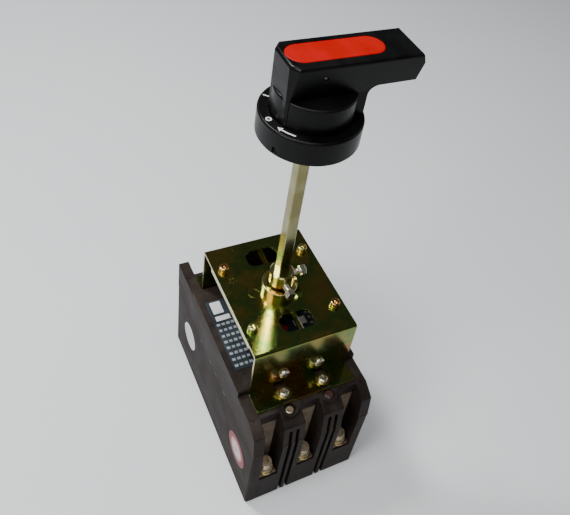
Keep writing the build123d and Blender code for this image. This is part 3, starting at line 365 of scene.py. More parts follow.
@dataclass(frozen=True)
class Moulding:
    """Moulded plastic or phenolic with grain, a patchy tint, dust and rubbed edges with a painted
    highlight.
    """

    name: str
    colour: Triple
    tint: Triple
    roughness: float = 0.45
    grain_scale: float = 2600.0
    grain_depth: float = 0.12
    dust: float = 0.25
    dust_dulls: float = 0.35
    dust_colour: Triple = (0.3, 0.27, 0.24)
    rub_and_highlight_colour: Triple = (0.16, 0.14, 0.13)
    rub_and_highlight_width: float = 0.0
    specular: float = 0.5

    def build(self, effects: Effects, box: Box | None = None) -> Material:
        """Build the material.

        Args:
            effects: the shared shader groups.
            box: lowest and highest corners of the piece whose edges are rubbed and painted lighter
                as a highlight, if any.

        Returns:
            The material.
        """
        g = Surface(self.name, effects)
        grain = g.group(effects.grain, Vector=g.where, Scale=self.grain_scale)
        colour = g.mix(grain["Tint"], self.colour, self.tint)
        colour, dust = g.dusted(colour, self.dust, self.dust_colour)
        # Lighter ragged edges: rubbing, plus a painted highlight along the box's edges.
        if box is not None and self.rub_and_highlight_width:
            worn_and_highlit = g.group(effects.edge_wear_and_highlight, Vector=g.where, Low=box[0], High=box[1],
                           Width=self.rub_and_highlight_width)
            colour = g.mix(worn_and_highlit["Mask"], colour, self.rub_and_highlight_colour)
        rough = g.around(grain["Tint"], self.roughness, span=0.14)
        rough = g.roughened(rough, dust, self.dust_dulls)
        g.shader["Specular IOR Level"].default_value = self.specular
        return g.end(colour, rough, grain["Height"], self.grain_depth, depth=0.2 * MM)


@dataclass(frozen=True)
class Plated:
    """Plated metal whose coat drifts between tints, with rolling lines and hairlines, and pale ±X
    faces: cut ends with a painted highlight.
    """

    name: str
    tints: tuple[Triple, ...]
    cloud_scale: float = 22.0
    roughness: float = 0.2
    mottle: float = 0.12
    rolling: float = 0.05
    hairlines: float = 0.5
    hairline_dulls: float = 0.25
    ramp_margin: float = 0.1
    cut_end_and_highlight_colour: Triple | None = None
    dust: float = 0.0
    dust_dulls: float = 0.5
    dust_colour: Triple = (0.2, 0.17, 0.12)

    def build(self, effects: Effects) -> Material:
        """Build the material from the shared shader groups."""
        g = Surface(self.name, effects)
        coat = g.group(effects.plating, Vector=g.where, Scale=self.cloud_scale)
        lines = g.group(effects.scratches, Vector=g.where, Amount=self.hairlines)["Mask"]
        pace = (1.0 - 2 * self.ramp_margin) / (len(self.tints) - 1)
        stops = [(self.ramp_margin + pace * i, tint) for i, tint in enumerate(self.tints)]
        shade = g.around(coat["Mottle"], middle=1.0, span=self.mottle * 2)
        colour = g.scaled(g.ramp(coat["Cloud"], stops), shade)
        # Faces facing ±X turn pale: bare cut ends of the sheet, plus a painted edge highlight.
        if self.cut_end_and_highlight_colour is not None:
            side = g.make("ShaderNodeSeparateXYZ", {0: g.normal})
            cut = g.step(g.math("ABSOLUTE", side), low=0.9, high=0.97)
            colour = g.mix(cut, colour, self.cut_end_and_highlight_colour)
        rough = g.around(coat["Mottle"], self.roughness, span=0.16)
        rough = g.roughened(rough, lines, self.hairline_dulls)
        if self.dust:
            colour, dust = g.dusted(colour, self.dust, self.dust_colour)
            rough = g.roughened(rough, dust, self.dust_dulls)
        height = g.math("MULTIPLY_ADD", coat["Rolling"], self.rolling, lines)
        g.shader["Metallic"].default_value = 1.0
        return g.end(colour, rough, height, strength=0.12, depth=0.1 * MM)


@dataclass(frozen=True)
class Disc:
    """Printed paper disc on the case's side: bands of colour by distance from its centre."""

    name: str
    bands: tuple[tuple[float, Triple], ...]
    roughness: float = 0.6
    stain: float = 0.35
    stain_colour: Triple = (0.35, 0.32, 0.3)
    grain_scale: float = 3500.0

    def build(self, effects: Effects, box: Box) -> Material:
        """Build the material for a disc that lies in the YZ plane.

        Args:
            effects: the shared shader groups.
            box: lowest and highest corners of the disc.

        Returns:
            The material.
        """
        g = Surface(self.name, effects)
        low, high = box
        centre, radius = (low + high) / 2, (high.y - low.y) / 2
        away = g.stretched(g.vector("SUBTRACT", g.where, centre), (0.0, 1.0, 1.0))
        length = g.add("ShaderNodeVectorMath", {0: away}, operation="LENGTH").outputs["Value"]
        bled = g.around(g.noise(g.where, scale=900.0, detail=3.0), middle=0.0, span=0.03)
        colour = g.ramp(g.math("ADD", g.math("DIVIDE", length, radius), bled), self.bands)
        soiled = g.step(g.noise(g.where, scale=120.0, detail=6.0), low=0.5, high=0.85)
        colour = g.mix(g.math("MULTIPLY", soiled, self.stain), colour, self.stain_colour)
        grain = g.group(effects.grain, Vector=g.where, Scale=self.grain_scale)
        rough = g.around(soiled, self.roughness, span=0.2)
        return g.end(colour, rough, grain["Height"], strength=0.2, depth=0.1 * MM)


@dataclass(frozen=True)
class Board:
    """Pressed fibre board: long fibres, flecks and darker soaked patches."""

    name: str
    pale: Triple
    dark: Triple
    roughness: float = 0.7
    dust: float = 0.3
    dust_colour: Triple = (0.4, 0.36, 0.3)

    def build(self, effects: Effects) -> Material:
        """Build the material from the shared shader groups."""
        g = Surface(self.name, effects)
        fibres = g.noise(g.stretched(g.where, (1800.0, 1800.0, 160.0)), scale=1.0)
        soaked = g.noise(g.where, scale=70.0, detail=5.0)
        amount = g.step(g.math("ADD", g.math("MULTIPLY", fibres, 0.6), soaked), low=0.55, high=1.1)
        colour = g.mix(amount, self.dark, self.pale)
        colour = g.dusted(colour, self.dust, self.dust_colour)[0]
        rough = g.around(fibres, self.roughness, span=0.2)
        return g.end(colour, rough, fibres, strength=0.3, depth=0.2 * MM)


Finish = Moulding | Plated | Board

# The lighter edge colour of base and cover is rubbing plus a painted edge highlight.
PHENOLIC = Moulding("phenolic_base", (0.0095, 0.006, 0.0048), (0.021, 0.014, 0.0112),
                    roughness=0.58, dust=0.14, dust_colour=(0.085, 0.074, 0.064),
                    rub_and_highlight_colour=(0.05, 0.042, 0.037), rub_and_highlight_width=1.0 * MM, specular=0.1)
PHENOLIC_COVER = Moulding("phenolic_cover", (0.0115, 0.0078, 0.0064), (0.026, 0.018, 0.0146),
                          roughness=0.54, dust=0.18, dust_colour=(0.1, 0.088, 0.076),
                          rub_and_highlight_colour=(0.06, 0.051, 0.045), rub_and_highlight_width=1.0 * MM, specular=0.1)
NYLON_BLACK = Moulding("nylon_black", (0.0016, 0.0016, 0.0017), (0.0036, 0.0036, 0.0038),
                       roughness=0.33, grain_scale=3800.0, grain_depth=0.1, dust=0.03,
                       dust_colour=(0.05, 0.05, 0.05), specular=0.14)
LACQUER_RED = Moulding("insert_red", (0.33, 0.001, 0.0012), (0.38, 0.002, 0.0018), roughness=0.46,
                       grain_scale=4200.0, grain_depth=0.06, dust=0.01, specular=0.1)
MOULDED_GREY = Moulding("moulded_grey", (0.12, 0.115, 0.11), (0.17, 0.16, 0.15), roughness=0.5)
PRINTED_PLATE = Moulding("printed_plate", (0.015, 0.0205, 0.026), (0.026, 0.034, 0.041),
                         roughness=0.34, grain_depth=0.04, dust=0.1,
                         dust_colour=(0.1, 0.1, 0.1), specular=0.3)
PRINT_PALE = Moulding("print_pale", (0.19, 0.225, 0.245), (0.28, 0.32, 0.34), roughness=0.4,
                      grain_depth=0.04, dust=0.3)
PRINT_WHITE = Moulding("print_white", (0.56, 0.57, 0.57), (0.66, 0.66, 0.66), roughness=0.4,
                       grain_depth=0.04, dust=0.15)
SEALING_WAX = Moulding("sealing_wax", (0.02, 0.012, 0.01), (0.085, 0.014, 0.01), roughness=0.38,
                       grain_scale=900.0, grain_depth=0.35, dust_colour=(0.1, 0.085, 0.07),
                       specular=0.35)
FOAM = Moulding("foam_rubber", (0.006, 0.006, 0.0065), (0.012, 0.012, 0.0125), roughness=0.8,
                grain_scale=1800.0, grain_depth=0.6, dust=0.1, dust_colour=(0.08, 0.08, 0.08))
# Its pale colour on ±X faces is bare cut ends plus a painted edge highlight.
ZINC_YELLOW = Plated("zinc_yellow", (
    (0.26, 0.125, 0.045), (0.3, 0.22, 0.048), (0.19, 0.215, 0.048), (0.12, 0.205, 0.05),
    (0.3, 0.24, 0.055)), cloud_scale=18.0, roughness=0.15, cut_end_and_highlight_colour=(0.62, 0.58, 0.36),
    dust=0.08, dust_colour=(0.1, 0.085, 0.05))
ZINC_GOLD = Plated("zinc_gold", ((0.42, 0.26, 0.1), (0.54, 0.43, 0.14), (0.4, 0.42, 0.16)),
                   cloud_scale=60.0)
ZINC_BRIGHT = Plated("zinc_bright", ((0.58, 0.53, 0.42), (0.72, 0.7, 0.62), (0.76, 0.7, 0.52)),
                     cloud_scale=90.0, roughness=0.22, dust=0.08)
SHAFT_STEEL = Plated("shaft_zinc", ((0.2, 0.2, 0.085), (0.3, 0.3, 0.15), (0.24, 0.22, 0.1)),
                     cloud_scale=30.0, roughness=0.14, rolling=0.1)
TERMINAL_STEEL = Plated("terminal_steel", (
    (0.34, 0.28, 0.19), (0.52, 0.46, 0.34), (0.44, 0.35, 0.23)),
    cloud_scale=120.0, roughness=0.34, dust=0.3)
TINNED_COPPER = Plated("tinned_copper", (
    (0.15, 0.095, 0.06), (0.23, 0.17, 0.115), (0.18, 0.12, 0.075)),
    cloud_scale=80.0, roughness=0.42, dust=0.35, dust_colour=(0.08, 0.065, 0.05))
SILVER = Plated("contact_silver", ((0.7, 0.69, 0.66), (0.82, 0.8, 0.76)), roughness=0.3)
FIBRE_BOARD = Board("fibre_board", (0.27, 0.205, 0.135), (0.125, 0.088, 0.055))
WHITE_DISC = Disc("white_disc", (
    (0.0, (0.6, 0.62, 0.64)), (0.7, (0.6, 0.62, 0.64)), (0.74, (0.42, 0.44, 0.47)),
    (0.78, (0.64, 0.66, 0.68)), (1.0, (0.66, 0.68, 0.7))))
RING_DISC = Disc("ring_disc", (
    (0.0, (0.34, 0.22, 0.26)), (0.18, (0.5, 0.4, 0.43)), (0.24, (0.58, 0.52, 0.54)),
    (0.5, (0.58, 0.51, 0.53)), (0.56, (0.3, 0.16, 0.2)), (0.62, (0.58, 0.46, 0.48)),
    (0.68, (0.24, 0.022, 0.034)), (0.92, (0.21, 0.018, 0.028)), (1.0, (0.16, 0.022, 0.03))))


# ------------------------------------------------------------------ mesh work


def add_object(name: str, data: bpy.types.ID) -> Object:
    """Put a mesh, a light or a camera in the scene as an object at the origin."""
    made = bpy.data.objects.new(name, data)
    bpy.context.scene.collection.objects.link(made)
    return made


def from_bmesh(name: str, bm: bmesh.types.BMesh, smooth: bool = False) -> Object:
    """Turn a bmesh into an object.

    Args:
        name: the object's name.
        bm: the mesh, which is freed.
        smooth: whether its faces are shaded smooth.

    Returns:
        The object.
    """
    for face in bm.faces:
        face.smooth = smooth
    mesh = bpy.data.meshes.new(name)
    bm.to_mesh(mesh)
    bm.free()
    return add_object(name, mesh)


def plain(piece: Object) -> Object:
    """Turn a piece's modifiers into its mesh."""
    bpy.context.view_layer.update()
    depsgraph = bpy.context.evaluated_depsgraph_get()
    mesh = bpy.data.meshes.new_from_object(piece.evaluated_get(depsgraph), depsgraph=depsgraph)
    piece.modifiers.clear()
    piece.data = mesh
    return piece


def settle(piece: Object, body: Body, slot: Slot, finish: Material, *replaced: str) -> None:
    """Dress a finished piece and fix it to its body.

    Args:
        piece: the finished piece.
        body: the body that it rides on.
        slot: not used.
        finish: its material.
        replaced: the frame's nodes that it stands for.
    """
    piece.data.materials.clear()
    piece.data.materials.append(finish)
    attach(piece, body.value)
    if replaced:
        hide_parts(*replaced)
    log.info("%s rides on %s, %d faces", piece.name, body.value, len(piece.data.polygons))


def dress(node: Object, finish: Material) -> None:
    """Give a node of the frame its finish."""
    node.data.materials.clear()
    node.data.materials.append(finish)


def bevel(piece: Object, width: float, **settings: object) -> None:
    """Round a piece's sharp edges in two steps, with a modifier's settings."""
    modifier = piece.modifiers.new("rounding", "BEVEL")
    for name, value in {"width": width, "segments": 2, **settings}.items():
        setattr(modifier, name, value)


def softened(node: Object, name: str, radius: float,
             corner: float = math.radians(35.0)) -> Object:
    """Copy a node's mesh with its corners merged and its sharp edges rounded.

    Args:
        node: the frame's node.
        name: the copy's name.
        radius: the width of the rounding.
        corner: the least angle that counts as a sharp edge.

    Returns:
        The copy, as a plain mesh.
    """
    bm = bmesh.new()
    bm.from_mesh(node.data)
    bmesh.ops.remove_doubles(bm, verts=bm.verts, dist=0.002 * MM)
    bmesh.ops.dissolve_limit(bm, angle_limit=math.radians(0.8), verts=bm.verts, edges=bm.edges,
                             use_dissolve_boundaries=False)
    copy = from_bmesh(name, bm, smooth=True)
    bevel(copy, radius, limit_method="ANGLE", angle_limit=corner, miter_outer="MITER_ARC",
          use_clamp_overlap=True)
    normals = copy.modifiers.new("shading", "WEIGHTED_NORMAL")
    normals.keep_sharp = True
    normals.weight = 80
    return plain(copy)


def ribbon(bm: bmesh.types.BMesh, inner: list[Point], outer: list[Point], low: float,
           high: float, closed: bool = False) -> None:
    """Add a flat raised band between two point rows to a bmesh.

    Args:
        bm: the mesh.
        inner: points along one side, counter-clockwise inside the outer ones.
        outer: as many points along the other side.
        low: height of the band's underside.
        high: height of its top.
        closed: whether the last points join the first ones.
    """
    rows = [[bm.verts.new((x, y, z)) for x, y in side] for side, z in
            ((inner, low), (outer, low), (outer, high), (inner, high))]
    count = len(inner)
    steps = range(count if closed else count - 1)
    for i in steps:
        j = (i + 1) % count
        for a, b in ((0, 1), (1, 2), (2, 3), (3, 0)):
            bm.faces.new((rows[a][i], rows[b][i], rows[b][j], rows[a][j]))
    if not closed:
        bm.faces.new([row[0] for row in rows])
        bm.faces.new([row[-1] for row in reversed(rows)])
    bmesh.ops.recalc_face_normals(bm, faces=bm.faces)


def polar(centre: Point, radius: float, angle: float) -> Point:
    """Give the point at an angle in degrees round a centre."""
    turned = math.radians(angle)
    return centre[0] + radius * math.cos(turned), centre[1] + radius * math.sin(turned)


def arc_points(centre: Point, radius: float, start: float, end: float, count: int) -> list[Point]:
    """Give points on an arc between two angles in degrees."""
    return [polar(centre, radius, start + (end - start) * i / (count - 1)) for i in range(count)]


def circle_points(centre: Point, radius: float, count: int) -> list[Point]:
    """Give points evenly round a circle."""
    return arc_points(centre, radius, 0.0, 360.0 - 360.0 / count, count)


class Pattern:
    """A Geometry Nodes tree that makes repeated pieces, and the calls to run it."""

    def __init__(self, name: str, inputs: dict[str, str]) -> None:
        """Start the tree with its named inputs, a finish and a geometry output."""
        self.name = name
        self.graph, self.given, self.result = new_tree(
            name, "GeometryNodeTree", {**inputs, "Finish": "material"}, {"Geometry": "geometry"})

    def end(self, geometry: Socket) -> None:
        """End the tree in realised instances with their finish."""
        real = self.graph.make("GeometryNodeRealizeInstances", {0: geometry})
        shown = self.graph.make("GeometryNodeSetMaterial", {"Geometry": real,
                                                            "Material": self.given["Finish"]})
        self.graph.feed(self.result[0], shown)

    def run(self, name: str, finish: Material, points: Iterable[Triple] = (),
            **values: object) -> Object:
        """Run the tree once.

        Args:
            name: the new piece's name.
            finish: its material.
            points: places that the tree reads as its Geometry input, if it has one.
            values: the tree's other inputs, with underscores for spaces.

        Returns:
            The piece, as a plain mesh.
        """
        mesh = bpy.data.meshes.new(name)
        mesh.from_pydata([tuple(p) for p in points], [], [])
        piece = add_object(name, mesh)
        modifier = piece.modifiers.new(self.name, "NODES")
        modifier.node_group = self.graph.tree
        wanted = {key.replace("_", " "): value for key, value in values.items()}
        wanted["Finish"] = finish
        for item in self.graph.tree.interface.items_tree:
            if item.in_out == "INPUT" and item.name in wanted:
                modifier[item.identifier] = wanted[item.name]
        return plain(piece)


def knurl_pattern() -> Pattern:
    """Upright ribs round each of several screw heads."""
    pattern = Pattern("knurl", {"Places": "geometry", "Ribs": "int", "Radius": "float",
                                "Height": "float", "Rib": "float"})
    g, given = pattern.graph, pattern.given
    ring = g.make("GeometryNodeMeshCircle", {"Vertices": given["Ribs"], "Radius": given["Radius"]})
    turn = g.math("DIVIDE", 2 * math.pi, given["Ribs"])
    angle = g.math("MULTIPLY", g.make("GeometryNodeInputIndex"), turn)
    spin = g.make("ShaderNodeCombineXYZ", {2: angle})
    size = g.make("ShaderNodeCombineXYZ", {0: given["Rib"], 1: given["Rib"], 2: given["Height"]})
    rib = g.make("GeometryNodeMeshCube", {"Size": size})
    ribs = g.make("GeometryNodeInstanceOnPoints", {"Points": ring, "Instance": rib,
                                                   "Rotation": spin})
    pattern.end(g.make("GeometryNodeInstanceOnPoints", {"Points": given["Places"],
                                                        "Instance": ribs}))
    return pattern


def thread_pattern() -> Pattern:
    """A helical ridge along an axis: a screw's thread or a wound spring."""
    pattern = Pattern("thread", {"Turns": "float", "Radius": "float", "Length": "float",
                                 "Wire": "float", "Place": "vector", "Turned": "vector"})
    g, given = pattern.graph, pattern.given
    helix = g.make("GeometryNodeCurveSpiral", {
        "Resolution": 24, "Rotations": given["Turns"], "Start Radius": given["Radius"],
        "End Radius": given["Radius"], "Height": given["Length"]})
    section = g.make("GeometryNodeCurvePrimitiveCircle", {"Resolution": 8, "Radius": given["Wire"]})
    wire = g.make("GeometryNodeCurveToMesh", {"Curve": helix, "Profile Curve": section,
                                              "Fill Caps": True})
    pattern.end(g.make("GeometryNodeTransform", {
        "Geometry": wire, "Translation": given["Place"], "Rotation": given["Turned"]}))
    return pattern


def print_pattern() -> Pattern:
    """Rows of flat blank blocks of uneven length, as the fields of a rating plate."""
    pattern = Pattern("blank_fields", {"Width": "float", "Height": "float", "Columns": "int",
                                       "Rows": "int", "Block": "vector", "Place": "vector",
                                       "Seed": "int"})
    g, given = pattern.graph, pattern.given
    grid = g.make("GeometryNodeMeshGrid", {
        "Size X": given["Width"], "Size Y": given["Height"], "Vertices X": given["Columns"],
        "Vertices Y": given["Rows"]})
    block = g.make("GeometryNodeMeshCube", {"Size": given["Block"]})
    length = g.add("FunctionNodeRandomValue", {2: 0.8, 3: 1.0, "Seed": given["Seed"]},
                   data_type="FLOAT")
    scale = g.make("ShaderNodeCombineXYZ", {0: length.outputs[1], 1: 1.0, 2: 1.0})
    placed = g.make("GeometryNodeInstanceOnPoints", {"Points": grid, "Instance": block,
                                                     "Scale": scale})
    pattern.end(g.make("GeometryNodeTransform", {"Geometry": placed,
                                                 "Translation": given["Place"]}))
    return pattern


@dataclass
class Workshop:
    """What every sub-assembly needs: the frame's nodes, the shared effects and patterns."""

    nodes: dict[str, Object]
    effects: Effects = field(default_factory=Effects)
    knurl: Pattern = field(default_factory=knurl_pattern)
    thread: Pattern = field(default_factory=thread_pattern)
    fields: Pattern = field(default_factory=print_pattern)
    made: dict[str, Material] = field(default_factory=dict)

    def finish(self, kind: Finish) -> Material:
        """Give a finish's material, built on its first use."""
        if kind.name not in self.made:
            self.made[kind.name] = kind.build(self.effects)
        return self.made[kind.name]

    def dress(self, kind: Finish, *names: str) -> None:
        """Give several nodes of the frame one finish."""
        for name in names:
            dress(self.nodes[name], self.finish(kind))
            log.info("%s is dressed in %s", name, kind.name)


# ------------------------------------------------------------------ sub-assemblies


@dataclass
class Case:
    """Moulded base and cover, their screws, the sealed screw and the marks on the side."""

    shop: Workshop
    rounding: float = 0.6 * MM
    wax_lumps: tuple[Point, ...] = ((0.25, 2.3), (0.1, 6.1))  # depth and fineness
    wax_bulge: float = 1.08
    wax_share: float = 0.92
    mark_size: Triple = (0.25 * MM, 5.0 * MM, 2.2 * MM)
    mark_softness: float = 0.9
    mark_places: tuple[float, ...] = (28.0 * MM, 4.0 * MM, -10.0 * MM, -30.0 * MM)

    def build(self) -> None:
        """Dress the case and add its small pieces."""
        for node, finish, slot in (("base_housing", PHENOLIC, Slot.HOUSING),
                                   ("cover_housing", PHENOLIC_COVER, Slot.COVER)):
            material = finish.build(self.shop.effects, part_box(node))
            piece = softened(self.shop.nodes[node], f"{node}_rounded", self.rounding)
            settle(piece, Body.BREAKER, slot, material, node)
        self.shop.dress(TERMINAL_STEEL, "cover_screws")
        self.shop.dress(PHENOLIC_COVER, "corner_pins")
        self.wax()
        self.side_marks()

    def wax(self) -> None:
        """Make the lumpy wax that fills one screw's recess."""
        low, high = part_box("wax_seal")
        centre = (low + high) / 2
        across = (high.x - low.x) / 2 * self.wax_share
        bm = bmesh.new()
        bmesh.ops.create_icosphere(bm, subdivisions=4, radius=1.0)
        for vertex in bm.verts:
            lump = 1.0
            for depth, fineness in self.wax_lumps:
                lump += depth * noise.noise(vertex.co * fineness)
            spread = min(lump, self.wax_bulge) * across
            rise = (high.z - low.z) / 2 * min(lump, 1.0)
            vertex.co = centre + vertex.co * Vector((spread, spread, rise))
        piece = from_bmesh("wax_drop", bm, smooth=True)
        settle(piece, Body.BREAKER, Slot.WAX, self.shop.finish(SEALING_WAX), "wax_seal")

    def side_marks(self) -> None:
        """Add the short raised ejector marks along the seam, on both long sides."""
        low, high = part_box("base_housing")
        bm = bmesh.new()
        for side, face in ((-1, low.x), (1, high.x)):
            for y in self.mark_places:
                size = Vector(self.mark_size)
                centre = Vector((face + side * size.x / 2, y, high.z - size.z))
                bmesh.ops.create_cube(bm, size=1.0, matrix=Matrix.Translation(centre)
                                      @ Matrix.Diagonal((*size, 1.0)))
        piece = from_bmesh("ejector_marks", bm)
        bevel(piece, self.mark_size[0] * self.mark_softness)
        settle(plain(piece), Body.BREAKER, Slot.HOUSING, self.shop.finish(NYLON_BLACK))


@dataclass
class Terminals:
    """Socket-head screws, washers, bars and fibre screens of the six terminals."""

    shop: Workshop
    ribs: int = 28
    rib: float = 0.45 * MM
    head_radius: float = 5.0 * MM
    head_height: float = 8.5 * MM
    rib_share: float = 0.72
    rib_drop: float = 0.12
    screw_y: float = 88.0 * MM
    poles: tuple[float, ...] = (-36.0 * MM, 0.0, 36.0 * MM)

    def build(self) -> None:
        """Dress the terminals and knurl their screw heads."""
        self.shop.dress(TERMINAL_STEEL, "terminal_screws", "terminal_spring_washers")
        self.shop.dress(ZINC_GOLD, "terminal_flat_washers")
        self.shop.dress(TINNED_COPPER, "terminal_bars_line", "terminal_bars_load")
        self.shop.dress(FIBRE_BOARD, "fibre_screens")
        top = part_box("terminal_screws")[1].z
        height = self.head_height * self.rib_share
        middle = top - self.head_height * self.rib_drop - height / 2
        places = [(x, side * self.screw_y, middle) for x in self.poles for side in (-1, 1)]
        piece = self.shop.knurl.run(
            "terminal_knurls", self.shop.finish(TERMINAL_STEEL), places, Ribs=self.ribs,
            Radius=self.head_radius, Height=height, Rib=self.rib)
        settle(piece, Body.BREAKER, Slot.ZINC_BRIGHT, self.shop.finish(TERMINAL_STEEL))


@dataclass
class Labels:
    """The plate on the raised block, its blank fields, and the two discs on the side."""

    shop: Workshop
    ink: float = 0.04 * MM
    column_x: float = 39.5 * MM
    column_width: float = 13.0 * MM
    block: Point = (3.1 * MM, 2.5 * MM)
    rows_top: float = 12.0 * MM
    rows_bottom: float = -31.0 * MM
    rows: int = 8
    columns: int = 4
    strips: tuple[tuple[int, int], ...] = ((-1, 3), (1, 8))  # side of the plate and seed
    patch_spans: tuple[tuple[Point, Point], ...] = (  # across and along, in millimetres
        ((-45.7, -36.3), (23.8, 36.7)), ((-46.0, -33.0), (16.0, 21.0)),
        ((17.0, 29.0), (-11.5, -3.5)))

    def build(self) -> None:
        """Dress the labels and print the plate."""
        self.shop.dress(PRINTED_PLATE, "nameplate")
        for node, disc in (("round_sticker", WHITE_DISC), ("ring_sticker", RING_DISC)):
            dress(self.shop.nodes[node], disc.build(self.shop.effects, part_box(node)))
        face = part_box("nameplate")[1].z
        self.blank_fields(face)
        self.patches(face)

    def blank_fields(self, face: float) -> None:
        """Print the rows of blank fields on both visible strips of the plate."""
        middle = (self.rows_top + self.rows_bottom) / 2
        for side, seed in self.strips:
            piece = self.shop.fields.run(
                f"plate_fields_{seed}", self.shop.finish(PRINT_PALE), Width=self.column_width,
                Height=self.rows_top - self.rows_bottom, Columns=self.columns, Rows=self.rows,
                Block=(*self.block, self.ink), Seed=seed,
                Place=(side * self.column_x, middle, face + self.ink / 2))
            settle(piece, Body.BREAKER, Slot.PLATE, self.shop.finish(PRINT_PALE))

    def patches(self, face: float) -> None:
        """Print the plain square, the bar under it and the block by the push button."""
        bm = bmesh.new()
        for across, along in self.patch_spans:
            near, far = ([(x * MM, y * MM) for x in across] for y in along)
            ribbon(bm, near, far, face, face + self.ink)
        piece = from_bmesh("plate_patches", bm)
        settle(piece, Body.BREAKER, Slot.PLATE, self.shop.finish(PRINT_WHITE))


@dataclass
class InnerWorks:
    """What lies inside the case: chutes, contacts, trip unit, toggle and its springs."""

    shop: Workshop
    spring_turns: float = 9.0
    spring_wire: float = 0.42 * MM
    press_turns: float = 4.0
    press_wire: float = 0.35 * MM
    press_travel: float = 2.5 * MM

    def build(self) -> None:
        """Dress the inner nodes and wind the mechanism's springs."""
        shop = self.shop
        shop.dress(ZINC_BRIGHT, "arc_plates", "magnet_yokes", "armatures", "toggle_pin",
                   "spring_link")
        shop.dress(ZINC_YELLOW, "mechanism_frame")
        shop.dress(FIBRE_BOARD, "arc_chute_sides")
        shop.dress(TINNED_COPPER, "contact_arms", "bimetal_strips")
        shop.dress(SILVER, "fixed_contacts", "moving_contacts")
        shop.dress(MOULDED_GREY, "crossbar", "trip_bar", "toggle_lever")
        shop.dress(LACQUER_RED, "trip_button")
        low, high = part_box("main_springs")
        radius = (high.y - low.y) / 2
        bm = bmesh.new()
        for side, x in ((-1, low.x + radius), (1, high.x - radius)):
            coil = self.coil(f"main_spring_{side}", x, (low, high), self.spring_turns,
                             self.spring_wire)
            bm.from_mesh(coil.data)
            bpy.data.objects.remove(coil)
        piece = from_bmesh("main_spring_coils", bm, smooth=True)
        settle(piece, Body.TOGGLE, Slot.ZINC_BRIGHT, shop.finish(ZINC_BRIGHT), "main_springs")
        self.button_coil()

    def coil(self, name: str, x: float, box: Box, turns: float, wire: float) -> Object:
        """Wind an upright spring.

        Args:
            name: the spring's name.
            x: where its axis stands.
            box: corners whose height and depth it fills.
            turns: how many turns it has.
            wire: its wire's radius.

        Returns:
            The spring.
        """
        low, high = box
        return self.shop.thread.run(
            name, self.shop.finish(ZINC_BRIGHT), Turns=turns, Wire=wire, Turned=UPRIGHT,
            Radius=(high.y - low.y) / 2 - wire, Length=high.z - low.z - 2 * wire,
            Place=(x, (low.y + high.y) / 2, low.z + wire))

    def button_coil(self) -> None:
        """Wind the trip button's spring and give it a mesh of its own."""
        low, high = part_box("button_spring")
        middle = (low + high) / 2
        piece = self.coil("button_coil", middle.x, (low, high), self.press_turns, self.press_wire)
        settle(piece, Body.BREAKER, Slot.ZINC_BRIGHT, self.shop.finish(ZINC_BRIGHT),
               "button_spring")
        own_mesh(piece)


@dataclass
class Mechanism:
    """Yellow zinc plated bracket with its rails, screws, cup, slide and crank."""

    shop: Workshop
    rounding: float = 0.22 * MM
    stamp_centre: Point = (-22.0 * MM, 1.0 * MM)
    stamp_radius: float = 4.6 * MM
    stamp_line: float = 0.35 * MM
    stamp_points: int = 45
    stamp_height: float = 0.06 * MM
    dots: tuple[Point, ...] = (  # in millimetres
        (-35.0, 20.5), (-32.2, 21.0), (-30.4, 18.0), (-33.6, 16.6), (-36.4, 17.6))
    dot_radius: float = 0.55 * MM
    dot_flatness: float = 0.35

    def build(self) -> None:
        """Dress the mechanism and add its punched marks."""
        shop = self.shop
        piece = softened(shop.nodes["bracket"], "bracket_rounded", self.rounding)
        settle(piece, Body.BREAKER, Slot.ZINC_YELLOW, shop.finish(ZINC_YELLOW), "bracket")
        shop.dress(ZINC_YELLOW, "stiffener_rails", "slide_plate", "crank_disc")
        shop.dress(ZINC_GOLD, "bearing_cup", "bearing_nut", "plate_flat_washers", "plate_screws",
                   "plate_spring_washers", "foot_washers")
        shop.dress(ZINC_BRIGHT, "plate_nuts", "foot_screws", "guide_rods", "crank_pin")
        self.marks()

    def marks(self) -> None:
        """Add a round inspection stamp and a ring of punched dots on the plate."""
        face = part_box("bracket")[1].z
        bm = bmesh.new()
        rims = [circle_points(self.stamp_centre, radius, self.stamp_points)
                for radius in (self.stamp_radius - self.stamp_line, self.stamp_radius)]
        ribbon(bm, *rims, face, face + self.stamp_height, closed=True)
        for x, y in self.dots:
            ball = bmesh.ops.create_icosphere(bm, subdivisions=3, radius=self.dot_radius)
            for vertex in ball["verts"]:
                vertex.co.z *= self.dot_flatness
                vertex.co += Vector((x * MM, y * MM, face))
        piece = from_bmesh("plate_stamps", bm, smooth=True)
        settle(piece, Body.BREAKER, Slot.ZINC_YELLOW, self.shop.finish(ZINC_YELLOW))


@dataclass
class Shaft:
    """Square extension shaft, its sleeve and the two set bolts with their threads."""

    shop: Workshop
    pitch: float = 0.8 * MM
    thread_radius: float = 2.3 * MM
    thread_wire: float = 0.3 * MM
    thread_start: float = 9.6 * MM
    thread_end: float = 17.0 * MM

    def build(self) -> None:
        """Dress the shaft and cut the bolts' threads."""
        shop = self.shop
        shop.dress(SHAFT_STEEL, "square_shaft")
        shop.dress(ZINC_GOLD, "drive_sleeve")
        shop.dress(ZINC_BRIGHT, "set_bolt_front", "set_bolt_side")
        quarter = math.pi / 2
        length = self.thread_end - self.thread_start
        for name, (x, y), turned in (("front", (0.0, -1.0), (quarter, 0.0, 0.0)),
                                     ("side", (1.0, 0.0), (0.0, quarter, 0.0))):
            low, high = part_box(f"set_bolt_{name}")
            start = (x * self.thread_start, y * self.thread_start, (low.z + high.z) / 2)
            piece = shop.thread.run(
                f"set_bolt_thread_{name}", shop.finish(ZINC_BRIGHT), Turns=length / self.pitch,
                Radius=self.thread_radius, Length=length, Wire=self.thread_wire, Place=start,
                Turned=turned)
            for face in piece.data.polygons:
                face.use_smooth = True
            settle(piece, Body.HANDLE, Slot.ZINC_BRIGHT, shop.finish(ZINC_BRIGHT))


